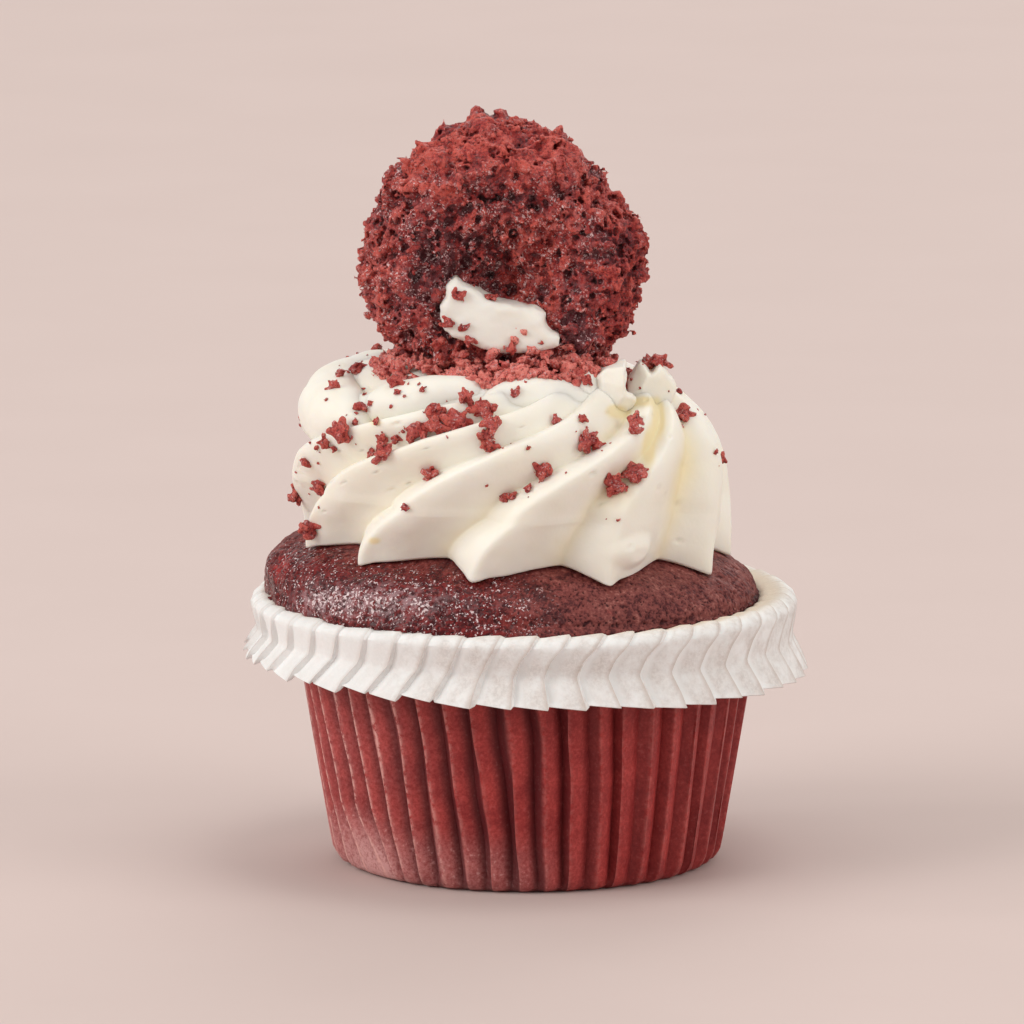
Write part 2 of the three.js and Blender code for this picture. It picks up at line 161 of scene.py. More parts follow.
BALL_CRUMBS = [
    (-9.2, 77.3, 2.7), (-4.9, 76.6, 2.3), (-10.7, 73.5, 2.4), (-8.5, 72.8, 1.8),
    (-7.6, 71.1, 2.6), (-6.3, 70, 1.9), (1.9, 70.7, 1.1), (-2, 70.1, 2.2), (0.4, 69.4, 1.8),
    (-9.6, 70.1, 2.2), (-11.9, 70.8, 2.4), (-9.6, 92.5, 2.6), (-2, 95.2, 2.2), (-2.5, 97.1, 2.6),
    (2.4, 92.5, 2.2), (8.4, 92.8, 2.4), (-4.9, 99.5, 2.4), (-12.9, 92.8, 1.8), (4.4, 95.2, 2.2),
    (-1.6, 100.6, 2), (-7.9, 100.1, 2), (10.8, 89.1, 1.8), (15.2, 70.1, 2.4),
]

# The dab's outline from the front: (x, z)
DAB_OUTLINE = [
    (-9.5, 81.5), (-7.5, 80.1), (-5.4, 78.7), (-3.8, 78.1), (-1.3, 77.8), (1.2, 77.1),
    (2.5, 76.6), (2.6, 75.4), (3.3, 74.3), (4.5, 73.7), (4.3, 72.4), (3.3, 71.8), (1.2, 71.2),
    (-3.8, 71.4), (-6.3, 72.1), (-7.9, 72.8), (-10, 73.5), (-11, 74.3), (-11.6, 76.2),
    (-11.6, 77.7), (-11, 78.7), (-10.9, 80.4),
]

# Rounded forms of cream over the swirl, each a run of (x, y, z, radius)
COILS = [
    [
        (-22.6, -14, 61.8, 3), (-25.2, -9, 61.9, 4.3), (-26.2, -2, 62.1, 4.6),
        (-25, 4.5, 62.8, 4.5), (-21, 10, 63.4, 4.4), (-15, 14, 64, 3.4),
    ],
    [
        (-19.4, -14.6, 64.2, 2.3), (-16.5, -15.8, 65, 2.8), (-12.5, -16.4, 65.8, 2.7),
        (-8.5, -16.4, 66.2, 2.2), (-5, -15, 65.9, 1.4),
    ],
    [
        (-5.2, -17.6, 64.6, 1.7), (-2.2, -16.6, 65.4, 2.7), (1.5, -15.8, 65.5, 2.9),
        (5.5, -14.4, 64.8, 2.4), (8.5, -13, 64.2, 1.6),
    ],
]
# Torn slabs where the last stroke broke off: outline from the front, y of the middle, seed
SLABS = [
    ([
        (9.1, 68.4), (10.4, 69.1), (11.8, 69.6), (13.2, 69.9), (13.4, 69.5), (13.2, 68.7),
        (13.6, 68.1), (13.3, 67.2), (13.3, 66), (14.3, 65.4), (14.6, 64.7), (14.1, 63.6),
        (12.9, 62.9), (11.8, 64.4), (10.7, 65.1), (9.1, 66),
    ], -12.6, 3),
    ([
        (4.6, 65.7), (6.5, 67.6), (8.2, 68.8), (9.2, 68.3), (10.3, 67.6), (10.3, 65.7),
        (7.1, 64.9),
    ], -12.5, 8),
    ([
        (13.4, 66.3), (14.3, 67.5), (15.3, 69.3), (16.1, 68.7), (16.7, 67.8), (17.4, 68),
        (17.9, 68.6), (18.8, 67.9), (19.7, 67), (20.2, 66), (20, 64.8), (19.5, 63.8),
        (17.7, 63.3), (15.8, 64.2), (14.3, 64.1), (13.4, 64.9),
    ], -7.3, 11),
]
# Painted yellow shade in the cream's grooves, under its edges and on its right: (x, z) on the
# middle plane by line of sight, half sizes, how much
YELLOW_SHADE = [
    (-20.2, 59.6, 1.2, 0.5, 1), (12, 61.3, 1.5, 0.9, 1.3), (17.6, 60.6, 0.8, 2.4, 1.4),
    (16.3, 56.5, 0.8, 2.8, 1.1), (-20.4, 43.6, 1, 0.6, 1.2), (15.8, 62.6, 1.6, 0.8, 1.2),
    (13, 50, 4, 6, 0.55), (21, 55, 4, 7, 0.45),
]
TOE = ((14.2, -23.6, 46.4), (5.0, 4.6, 2.7), 0.9)  # middle, half sizes, how far out
COIL_STEP, SLAB_STEP = 0.45, 0.24

# The torn cake's colours: light, middle and dark
CAKE_RED = (0.66, 0.105, 0.078), (0.37, 0.030, 0.028), (0.120, 0.012, 0.018)
LOOSE_RED = (0.66, 0.118, 0.088), (0.43, 0.041, 0.035), (0.15, 0.010, 0.012)
# A brighter copy of the crumb colours for the heap, painted light against the ball's shade
HEAP_RED_LIT = (0.92, 0.275, 0.225), (0.70, 0.110, 0.093), (0.20, 0.018, 0.020)

# Crumbs round the ball's foot, most of them ahead of it
HEAP_CRUMBS, HEAP_AHEAD = 400, 340
BEHIND_LARGE, BEHIND_SMALL = 26, 50  # strewn over the cream behind
HEAP_SIZES = [0.8, 1.3, 1.9, 2.5, 3.2]
HEAP_SHARES = [0.22, 0.26, 0.24, 0.16, 0.12]

# Camera, in millimetres
CAMERA_AT = (-2, -1600, 331)
CAMERA_AIM = (-2, 0, 47.5)
FOCAL_PIXELS = 12000
FRAME_PIXELS = 1024
SENSOR = 36
SIGHT_SLOPE = (CAMERA_AT[2] - CAMERA_AIM[2]) / (CAMERA_AIM[1] - CAMERA_AT[1])


# Noise and small helpers


HASH = (127.1, 311.7, 74.7)
HASH_SCALE = 43758.5453


def noise(points, size=1.0, seed=0):
    """Smooth noise from -1 to 1, with lumps one size wide."""
    p = np.asarray(points, float) / size + seed * 17.3
    cell = np.floor(p)
    part = p - cell
    part = part * part * (3 - 2 * part)
    x, y, z = np.moveaxis(cell, -1, 0)
    total = 0
    for c in range(8):
        a, b, d = c & 1, (c >> 1) & 1, c >> 2
        weight = np.where([a, b, d], part, 1 - part).prod(axis=-1)
        s = np.sin((x + a) * HASH[0] + (y + b) * HASH[1] + (z + d) * HASH[2]) * HASH_SCALE
        total = total + weight * (2 * (s - np.floor(s)) - 1)
    return total


def smoothstep(low, high, x):
    t = np.clip((x - low) / (high - low), 0, 1)
    return t * t * (3 - 2 * t)


def bell(x):
    """1 at zero, and about a third one unit away."""
    return np.exp(-(x**2))


def spot(x, z, at_x, at_z, wide, tall):
    """1 in the middle of a soft-edged oval spot, and 0 far from it."""
    return np.exp(-(((x - at_x) / wide) ** 2 + ((z - at_z) / tall) ** 2))


def soft_abs(x, width):
    """The size of x, rounded off at zero."""
    return np.sqrt(x * x + width * width) - width


def unit(v):
    return v / np.maximum(np.linalg.norm(v, axis=-1, keepdims=True), 1e-9)


# Meshes


def piece(name, points, faces, material, node, marks):
    """A shown mesh from millimetre points, with a number for each point under each mark's name."""
    mesh = bpy.data.meshes.new(name)
    mesh.from_pydata((np.asarray(points) * MM).tolist(), [], [list(f) for f in faces])
    mesh.polygons.foreach_set("use_smooth", [True] * len(mesh.polygons))
    for key, values in marks.items():
        layer = mesh.attributes.new(key, "FLOAT", "POINT")
        layer.data.foreach_set("value", np.asarray(values, np.float32).ravel())
    mesh.materials.append(material)
    made = bpy.data.objects.new(name, mesh)
    bpy.context.scene.collection.objects.link(made)
    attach(made, "root")
    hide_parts(node)
    return made


def joined(parts):
    """Points and faces of several meshes as one."""
    points, faces, start = [], [], 0
    for more, more_faces in parts:
        points.append(np.asarray(more))
        faces += [[i + start for i in face] for face in more_faces]
        start += len(more)
    return np.concatenate(points), faces


def loft(rings, low, high):
    """Points and faces of a closed skin through rings of points, with a pole at either end."""
    rings = np.asarray(rings)
    rows, columns = rings.shape[:2]
    grid = np.arange(rows * columns).reshape(rows, columns)
    ahead = np.roll(grid, -1, axis=1)
    quads = np.stack([grid[:-1], ahead[:-1], ahead[1:], grid[1:]], axis=-1).reshape(-1, 4)
    points = list(rings.reshape(-1, 3))
    faces = quads.tolist()
    for pole, ring, other in ((low, ahead[0], grid[0]), (high, grid[-1], ahead[-1])):
        faces += [[len(points), a, b] for a, b in zip(ring.tolist(), other.tolist())]
        points.append(pole)
    return np.array(points), faces


def grid_normals(rings):
    """Outward normals of a grid of rings that run from +X towards +Y, from the bottom up."""
    along = np.roll(rings, -1, axis=1) - np.roll(rings, 1, axis=1)
    up = np.gradient(rings, axis=0)
    return unit(np.cross(along, up))


class Field:
    """Distances to a surface, sampled on a grid: below zero is inside."""

    def __init__(self, low, high, step):
        self.low, self.step = np.array(low, float), step
        self.size = np.ceil((np.array(high) - self.low) / step).astype(int) + 1
        self.value = np.full(self.size, 9.0)

    def points(self):
        axes = [self.low[i] + self.step * np.arange(self.size[i]) for i in range(3)]
        return np.stack(np.meshgrid(*axes, indexing="ij"), axis=-1)

    def stamp(self, centre, radii, turn=None, cut=False, blend=0.12):
        """Adds an ellipsoid, or cuts one out."""
        reach = max(radii) + max(0.5, blend)
        a = np.maximum(0, np.floor((centre - reach - self.low) / self.step).astype(int))
        b = np.minimum(self.size, np.ceil((centre + reach - self.low) / self.step).astype(int) + 1)
        if (a >= b).any():
            return
        axes = [self.low[i] + self.step * np.arange(a[i], b[i]) - centre[i] for i in range(3)]
        p = np.stack(np.meshgrid(*axes, indexing="ij"), axis=-1)
        if turn is not None:
            p = p @ turn
        away = (np.linalg.norm(p / radii, axis=-1) - 1) * min(radii)
        box = self.value[a[0]:b[0], a[1]:b[1], a[2]:b[2]]
        sign = -1 if cut else 1
        first, second = sign * box, away
        mix = np.clip(0.5 + 0.5 * (second - first) / blend, 0, 1)
        box[...] = sign * (second + (first - second) * mix - blend * mix * (1 - mix))

    def trimmed(self, away):
        """The same field without what lies outside another surface."""
        other = copy.copy(self)
        other.value = np.maximum(self.value, away)
        return other

    def close(self):
        """Leaves nothing inside at the grid's sides, so that the surface is shut."""
        edge = [0, -1]
        self.value[edge] = self.value[:, edge] = self.value[:, :, edge] = 1

    def blurred(self, reach):
        """The distances, none beyond the reach, averaged over a box around each grid point."""
        cells = max(1, round(reach / self.step))
        soft = np.clip(self.value, -reach, reach)
        for axis in range(3):
            soft = np.moveaxis(soft, axis, 0)
            total = np.cumsum(np.pad(soft, ((cells + 1, cells), (0, 0), (0, 0)), "edge"), axis=0)
            mean = (total[2 * cells + 1:] - total[:-2 * cells - 1]) / (2 * cells + 1)
            soft = np.moveaxis(mean, 0, axis)
        return soft

    def relief(self, points, reach):
        """How far points of the surface stand out: above 0 on a knob, below 0 in a hole."""
        at = np.rint((points - self.low) / self.step).astype(int)
        return self.blurred(reach)[tuple(at.T)] / reach

    def surface(self):
        """Points and faces of the surface, by surface nets, with loose bits left out."""
        value = self.value
        solid = value < 0
        size = np.array(value.shape) - 1
        corners = np.array([[i, j, k] for i in (0, 1) for j in (0, 1) for k in (0, 1)])
        counts = np.zeros(size, np.int8)
        for c in corners:
            counts += solid[c[0]:c[0] + size[0], c[1]:c[1] + size[1], c[2]:c[2] + size[2]]
        active = (counts > 0) & (counts < 8)
        cells = np.argwhere(active)
        number = np.full(size, -1)
        number[active] = np.arange(len(cells))
        place, hits = np.zeros((len(cells), 3)), np.zeros((len(cells), 1))
        for i in range(8):
            for j in range(i + 1, 8):
                if np.abs(corners[i] - corners[j]).sum() != 1:
                    continue
                va, vb = (value[tuple((cells + corners[c]).T)] for c in (i, j))
                cross = ((va < 0) != (vb < 0))[:, None]
                t = np.where(cross[:, 0], va / np.where(va == vb, 1, va - vb), 0)[:, None]
                place += np.where(cross, corners[i] + t * (corners[j] - corners[i]), 0)
                hits += cross
        points = self.low + self.step * (cells + place / hits)
        quads = []
        for axis in range(3):
            others = [a for a in range(3) if a != axis]
            lo = np.take(solid, range(size[axis]), axis)
            hi = np.take(solid, range(1, size[axis] + 1), axis)
            at = np.argwhere(lo != hi)
            at = at[(at[:, others] > 0).all(axis=1) & (at[:, others] < size[others]).all(axis=1)]
            b, c = np.eye(3, dtype=int)[others]
            ring = np.stack([number[tuple((at - s).T)] for s in (0 * b, b, b + c, c)], axis=-1)
            flip = lo[tuple(at.T)] ^ (axis == 1)
            quads.append(np.where(flip[:, None], ring, ring[:, ::-1]))
        return largest_body(points, np.concatenate(quads))


def largest_body(points, quads):
    """Keeps the largest connected part of a mesh."""
    label = np.arange(len(points))
    while True:
        low = label[quads].min(axis=1)
        new = label.copy()
        np.minimum.at(new, quads.ravel(), np.repeat(low, 4))
        new = new[new]
        if (new == label).all():
            break
        label = new
    keep = label == np.bincount(label).argmax()
    number = np.cumsum(keep) - 1
    return points[keep], number[quads[keep[quads[:, 0]]]]


def turn_matrix(draw):
    """A random rotation."""
    q = unit(draw.normal(size=4))
    w, x, y, z = q
    return np.array([
        [1 - 2 * (y * y + z * z), 2 * (x * y - z * w), 2 * (x * z + y * w)],
        [2 * (x * y + z * w), 1 - 2 * (x * x + z * z), 2 * (y * z - x * w)],
        [2 * (x * z - y * w), 2 * (y * z + x * w), 1 - 2 * (x * x + y * y)],
    ])


# Materials


class Look:
    """A material and the short calls that build its nodes. Sizes are in millimetres."""

    def __init__(self, name, **settings):
        self.material = bpy.data.materials.new(name)
        self.material.use_nodes = True
        self.tree = self.material.node_tree
        self.shader = self.tree.nodes["Principled BSDF"]
        self.place = self.node("TexCoord", {}, "Object")
        self.finish(**settings)

    def feed(self, socket, value):
        if isinstance(value, bpy.types.NodeSocket):
            self.tree.links.new(value, socket)
        elif socket.type == "RGBA":
            socket.default_value = (*value, 1)
        else:
            socket.default_value = value

    def node(self, kind, inputs, output=0, **settings):
        node = self.tree.nodes.new("ShaderNode" + kind)
        for key, value in settings.items():
            setattr(node, key, value)
        for key, value in inputs.items():
            self.feed(node.inputs[key], value)
        return node.outputs[output]

    def mark(self, name):
        return self.node("Attribute", {}, "Fac", attribute_name=name)

    def noise(self, size, detail=2, rough=0.5):
        scale = 1 / (size * MM)
        inputs = {"Vector": self.place, "Scale": scale, "Detail": detail, "Roughness": rough}
        return self.node("TexNoise", inputs, "Fac")

    def ramp(self, value, low, high, to_low=0.0, to_high=1.0):
        inputs = {0: value, 1: low, 2: high, 3: to_low, 4: to_high}
        return self.node("MapRange", inputs, interpolation_type="SMOOTHSTEP")

    def mix(self, factor, a, b):
        return self.node("Mix", {0: factor, 6: a, 7: b}, 2, data_type="RGBA")

    def math(self, operation, a, b=0.0, c=0.0):
        return self.node("Math", {0: a, 1: b, 2: c}, operation=operation)

    def times(self, a, b):
        return self.math("MULTIPLY", a, b)

    def plus(self, a, b):
        return self.math("ADD", a, b)

    def bump(self, height, depth, strength=1.0):
        inputs = {"Height": height, "Distance": depth * MM, "Strength": strength}
        return self.node("Bump", inputs)

    def finish(self, **sockets):
        for key, value in sockets.items():
            self.feed(self.shader.inputs[key.replace("_", " ")], value)
        return self.material


def paper_look():
    look = Look("paper", IOR=1.45, Specular_IOR_Level=0.25)
    band, flank, zone, frost = (look.mark(name) for name in ("band", "flank", "zone", "frost"))
    blotches = look.noise(4.5, 4, 0.65)
    fibres = look.noise(0.5, 5, 0.75)
    red = look.mix(look.ramp(blotches, 0.35, 0.65), (0.32, 0.026, 0.026), (0.46, 0.050, 0.045))
    # Painted shade: the wall's pleats darkened towards each valley
    red = look.mix(look.times(flank, 0.92), red, (0.060, 0.005, 0.008))
    red = look.mix(look.ramp(fibres, 0.42, 0.58, 0.35, 0), red, (0.12, 0.010, 0.012))
    haze = look.times(look.ramp(fibres, 0.36, 0.58, 0.4, 1.0), frost)
    dots = look.ramp(look.noise(0.5, 2, 0.6), 0.60, 0.68)
    dots = look.times(dots, look.ramp(frost, 0.03, 0.4, 0.1, 0.8))
    # Painted highlight along the wall's crests, pale pink, strongest on the left
    worn = look.times(look.ramp(look.noise(0.9, 3, 0.7), 0.38, 0.56), look.mark("worn"))
    red = look.mix(look.math("MAXIMUM", haze, dots), red, (0.60, 0.31, 0.30))
    red = look.mix(worn, red, (0.74, 0.40, 0.36))
    single = look.mix(look.ramp(fibres, 0.38, 0.64), (0.63, 0.59, 0.565), (0.76, 0.725, 0.70))
    band = look.math("MAXIMUM", band, look.ramp(look.noise(2.6, 3, 0.6), 0.25, 0.78))
    double = look.mix(look.ramp(blotches, 0.35, 0.65), (0.84, 0.84, 0.83), (0.885, 0.89, 0.885))
    white = look.mix(band, single, double)
    # Painted shadow in the collar's grooves, brownish
    white = look.mix(look.times(flank, 0.6), white, (0.50, 0.41, 0.36))
    white = look.mix(look.mark("oil"), white, (0.82, 0.70, 0.545))
    height = look.plus(fibres, look.times(look.noise(2.2, 2), 1.5))
    return look.finish(
        Base_Color=look.mix(zone, white, red), Roughness=look.ramp(zone, 0, 1, 0.85, 0.4),
        Normal=look.bump(height, 0.07, 0.7),
        Subsurface_Weight=0.1, Subsurface_Radius=(1, 0.6, 0.5), Subsurface_Scale=0.0005,
    )


def crust_look():
    look = Look("crust", IOR=1.5)
    moist_and_glints, pit_shade = look.mark("moist_and_glints"), look.mark("pit_shade")
    fine = look.noise(0.42, 3, 0.65)
    blotches = look.noise(1.1, 4, 0.65)
    patches = look.noise(5, 3, 0.6)
    tone = look.plus(look.times(fine, 0.8), look.times(blotches, 0.9))
    tone = look.plus(tone, look.times(patches, 0.5))
    brown = look.mix(look.ramp(tone, 0.92, 1.12), (0.075, 0.012, 0.014), (0.190, 0.046, 0.040))
    brown = look.mix(look.ramp(tone, 1.12, 1.40), brown, (0.34, 0.125, 0.105))
    red = look.mix(look.ramp(tone, 0.92, 1.3), (0.046, 0.004, 0.006), (0.200, 0.016, 0.016))
    colour = look.mix(moist_and_glints, brown, red)
    # Painted shade in the skin's pits, on top of their small dents
    colour = look.mix(look.ramp(pit_shade, 0.1, 0.8), colour, (0.042, 0.004, 0.006))
    torn = look.mix(look.ramp(tone, 1.0, 1.25), (0.10, 0.006, 0.008), (0.36, 0.026, 0.024))
    colour = look.mix(look.mark("torn"), colour, torn)
    # Painted sheen: a lavender haze over the sheen band
    sheen = look.mark("sheen")
    haze = look.times(sheen, look.ramp(look.noise(1.0, 3, 0.65), 0.44, 0.60, 0.05, 0.62))
    colour = look.mix(haze, colour, (0.46, 0.29, 0.31))
    # Painted glints: pale flecks in the moist part, densest in the sheen band
    glint_pattern = look.math("MULTIPLY_ADD", sheen, 0.085, look.noise(0.36, 3, 0.6))
    glint_pattern = look.plus(glint_pattern, look.math("MULTIPLY_ADD", look.noise(1.5, 2, 0.5), 0.36, -0.18))
    glint = look.times(look.ramp(glint_pattern, 0.615, 0.675), look.ramp(moist_and_glints, 0.2, 0.8, 0, 0.85))
    colour = look.mix(glint, colour, (0.82, 0.68, 0.69))
    height = look.plus(look.noise(0.42, 1, 0.4), look.times(fine, 0.3))
    return look.finish(
        Base_Color=colour, Roughness=look.ramp(moist_and_glints, 0.1, 0.9, 0.6, 0.2),
        Normal=look.bump(height, 0.10, 1.0), Specular_IOR_Level=0.22,
    )


def cream_look(name, cream, white):
    look = Look(name, IOR=1.45)
    colour = look.mix(look.ramp(look.noise(9, 2), 0.35, 0.65), cream, white)
    # Painted yellow shade, deepest in the swirl's valleys
    colour = look.mix(look.ramp(look.mark("valley"), 0.3, 1.1, 0, 0.75), colour, (0.86, 0.72, 0.38))
    height = look.plus(look.noise(0.5, 3, 0.6), look.times(look.noise(2.5, 2), 2))
    return look.finish(
        Base_Color=colour, Roughness=0.5, Normal=look.bump(height, 0.06, 0.4),
        Subsurface_Weight=0.3, Subsurface_Radius=(1, 0.78, 0.55), Subsurface_Scale=0.0018,
    )


def crumb_look(name, light, middle, dark):
    look = Look(name, IOR=1.5)
    relief = look.mark("relief")
    grain = look.noise(0.42, 4, 0.75)
    tone = look.math("MULTIPLY_ADD", grain, 3.2, -1.86)
    tone = look.plus(tone, look.times(look.noise(2.2, 3, 0.6), 0.6))
    # Painted shade and light: hollows darker and knobs lighter by their relief
    tone = look.plus(tone, look.math("MULTIPLY_ADD", relief, 1.6, -0.1))
    tone = look.plus(tone, look.times(look.mark("light"), 0.68))
    colour = look.mix(look.ramp(tone, -0.30, 0.15), dark, middle)
    colour = look.mix(look.ramp(tone, 0.20, 0.85), colour, light)
    # Painted shade in deep hollows and in painted pores
    pores = look.ramp(look.noise(0.4, 2, 0.6), 0.43, 0.36)
    deep = look.math("MAXIMUM", look.ramp(relief, -0.12, -0.5), look.times(pores, 0.7))
    colour = look.mix(deep, colour, tuple(c * 0.3 for c in dark))
    moist_and_glints = look.mark("moist_and_glints")
    # Painted sheen: a pinkish haze over the moist parts
    haze = look.times(moist_and_glints, look.ramp(look.noise(0.8, 3, 0.65), 0.44, 0.60, 0.0, 0.20))
    colour = look.mix(haze, colour, (0.44, 0.25, 0.26))
    # Painted glints: pale flecks in clusters over the moist parts
    glint = look.times(look.ramp(look.noise(0.33, 2, 0.6), 0.555, 0.605), moist_and_glints)
    glint = look.times(glint, look.ramp(look.noise(1.7, 3, 0.6), 0.45, 0.58))
    colour = look.mix(look.times(glint, 0.9), colour, (0.86, 0.63, 0.63))
    rough = look.ramp(look.noise(0.7, 1), 0.42, 0.60, 0.2, 0.6)
    return look.finish(
        Base_Color=colour, Roughness=rough,
        Normal=look.bump(grain, 0.4, 1.0), Specular_IOR_Level=0.4,
        Subsurface_Weight=0.06, Subsurface_Radius=(1, 0.25, 0.2), Subsurface_Scale=0.0005,
    )


# Paper case


def case_stations():
    """(r, z, pleat, lean at the left, lean at the right, valley) from the floor to the hem."""
    def between(a, b, t):
        return (a[0] + (b[0] - a[0]) * t, a[1] + (b[1] - a[1]) * t)

    def wall(left=0, right=0):
        return (WALL_PLEAT, left, right, WALL_VALLEY)

    def collar(pleat, left, right):
        return (pleat, RIM_LEAN + left, RIM_LEAN + right, COLLAR_VALLEY)

    return [
        (FLOOR_RADIUS, SHEET / 2, 0, 0, 0, 0.5),
        (FLOOR_RADIUS + 1.3, 0.65, WALL_PLEAT / 3, 0, 0, 0.7),
        (*WALL_FOOT, *wall()),
        (*between(WALL_FOOT, WALL_TOP, 0.45), *wall(-1.1, -0.3)),
        (*WALL_TOP, *wall(-3.0, RIM_LEAN * 0.8)),
        (31.9, 36.1, 0.25, -2.4, RIM_LEAN, 0.85),
        (*RIM_TOP, *collar(0.12, 0, 0)),
        (*RIM_OUTSIDE, *collar(0.10, -0.3, -1.6)),
        (*between(RIM_OUTSIDE, KINK, 0.45), *collar(0.3, -1.0, -3.5)),
        (*KINK, *collar(0.36, -2.0, -4.3)),
        (*HEM, *collar(COLLAR_PLEAT, -4.6, -3.2)),
    ]


def case_line():
    """The sheet's softened middle line, and how far along it the rows, the rim and the hem are."""
    stations = np.array(case_stations())
    run = np.concatenate([[0], np.cumsum(np.hypot(*np.diff(stations[:, :2], axis=0).T))])
    foot, rim, hem = run[2], run[4], run[-1]
    fine = np.linspace(0, hem, 1500)
    line = np.stack([np.interp(fine, run, column) for column in stations.T], axis=1)
    window = np.ones(33) / 33
    for i in range(line.shape[1] - 1):
        line[:, i] = np.convolve(np.pad(line[:, i], 16, "edge"), window, "valid")
    rows = np.concatenate([
        np.linspace(0, foot, 5)[:-1], np.linspace(foot, rim, 20)[:-1], np.linspace(rim, hem, 32),
    ])
    line = np.stack([np.interp(rows, fine, column) for column in line.T], axis=1)
    return line, rows, rim, hem


def pleat_columns():
    """Each column's pleat number and place in it, and the pleat's shift, height, tooth and fold."""
    draw = np.random.default_rng(4)
    phase = np.tile(np.linspace(0, 1, PLEAT_COLUMNS, endpoint=False), PLEATS)
    number = np.repeat(np.arange(PLEATS), PLEAT_COLUMNS)
    shift = draw.uniform(-0.09, 0.09, PLEATS)
    tall = draw.uniform(0.8, 1.25, PLEATS)
    tooth = draw.uniform(-0.3, 0.3, PLEATS)
    fold = draw.uniform(0.17, 0.33, PLEATS)
    shift = np.interp(number + phase, np.arange(PLEATS + 1), np.append(shift, shift[0]))
    return number, phase, shift, tall[number], tooth[number], fold[number]


def case_row(columns, station, slope, at, rim, end):
    """Both faces of the sheet along one row, and the marks on it."""
    number, phase, shift, tall, tooth, fold = columns
    r, z, pleat, lean_left, lean_right, valley = station
    on_collar = smoothstep(rim, rim + 2, at)
    falling = phase < 0.5
    part = np.where(falling, phase, phase - 0.5) * 2
    share = np.where(falling, part * valley, valley + part * (1 - valley))
    wave = np.where(falling, 1 - 2 * part ** (1.8 - 0.8 * on_collar), 2 * part - 1)
    straight = FIRST_PLEAT + (number + share + shift) / PLEATS * TAU
    away = np.arctan2(np.sin(straight - PRESSED_TURN), np.cos(straight - PRESSED_TURN))
    flat = bell(away / PRESSED_SPREAD) * max(0, 1 - z / PRESSED_HEIGHT) * (z > 0.3)

    to_right = smoothstep(-0.4, 0.5, np.cos(straight))
    none = 0 * phase
    wobble = noise(np.stack([number * 1.7 + none, none + z / 7, none], axis=1), 1, 3)
    wobble = wobble * (0.5 - 0.25 * to_right)
    lean = lean_left + (lean_right - lean_left) * to_right
    turn = straight + (lean + wobble * (1 - on_collar)) / r + PRESSED_DRAG * flat
    height = wave * pleat * tall * (1 - 0.9 * np.minimum(1, 1.6 * flat))
    layered = smoothstep(0.10, -0.10, share - fold)
    height = height - 0.06 * (1 - layered) * on_collar

    hem = smoothstep(end - 8, end, at)
    edge = smoothstep(end - 1.6, end, at)
    drop_along = 0.8 * np.where(falling, part, 1 - part)
    lift = edge * (tooth * 1.1 - drop_along + 0.45) - 0.8 * hem
    at_left = smoothstep(-0.6, -0.95, np.cos(turn))
    at_right = smoothstep(0.6, 0.95, np.cos(turn))
    flare = smoothstep(rim + 3, rim + 6, at) * (0.8 * at_left + 0.5 * hem * at_right)
    faces = []
    for side in (1, -1):
        out = height + side * SHEET / 2
        rr = r + out * slope[1] + flare
        zz = z - out * slope[0] - hem * HEM_RISE * np.cos(turn) + lift
        faces.append(np.stack([rr * np.cos(turn), rr * np.sin(turn), zz], axis=1))

    x = faces[0][:, 0]
    left, right = smoothstep(-4, -24, x), smoothstep(-2, 18, x)
    # Painted shadow along the end of each collar strip, under the next strip's raised edge, less on
    # the left
    groove_shadow = smoothstep(0.78, 0.93, share) * (phase < 0.58) * (1 - 0.5 * left)
    # Painted shade in each wall pleat, from its middle to its valley just before the next crest,
    # less at the sides
    shaded = smoothstep(0.30, 0.70, share) * smoothstep(1.0, 0.94, share)
    shaded = shaded * (1 - 0.3 * left - 0.65 * right)
    hazy = smoothstep(10, 3, z) * smoothstep(0.4, -0.3, np.cos(turn)) * (0.42 - 0.3 * shaded)
    every = np.ones(len(phase))
    marks = {
        "band": 1 - (1 - layered) * (1 - 0.8 * left),
        # Painted shade: groove shadows on the collar, valley shade on the wall
        "flank": np.where(on_collar > 0.5, groove_shadow, shaded * (1 - 0.9 * flat)),
        "zone": every * (1 - smoothstep(rim - 2, rim + 1, at)),
        "oil": every * smoothstep(rim + 7.5, rim + 4.5, at) * 0.8,
        "frost": 0.03 + 0.10 * left + 1.0 * flat + hazy,
        # Painted highlight on each crest, mostly on the left
        "worn": bell(np.minimum(phase, 1 - phase) / 0.06) * (0.12 + 0.88 * left),
    }
    return *faces, marks


def paper_case():
    line, rows, rim, end = case_line()
    columns = pleat_columns()
    slopes = np.gradient(line[:, :2], axis=0)
    slopes /= np.linalg.norm(slopes, axis=1, keepdims=True)
    slopes[0] = (1, 0)
    made = [case_row(columns, *row, rim, end) for row in zip(line, slopes, rows)]
    inside = [row for k, row in enumerate(made) if k < 6 or k % 4 == 0 or rows[k] > rim][::-1]
    rings = np.array([outer for outer, _, _ in made] + [inner for _, inner, _ in inside])
    points, faces = loft(rings, low=(0, 0, 0), high=(0, 0, SHEET))
    marks = {
        key: np.concatenate([*(marks[key] for _, _, marks in made + inside), [0, 0]])
        for key in made[0][2]
    }
    case = piece("paper_case_folded", points, faces, paper_look(), "paper_case", marks)
    case.data.set_sharp_from_angle(angle=math.radians(32))


# Cake in the case


def dome_at(x, y):
    share = np.minimum(1, np.hypot(x - CRUST_X, y) / CRUST_R)
    return CRUST_Z + DOME_RISE * (1 - share**2) ** DOME_ROUNDNESS - DOME_TILT * x


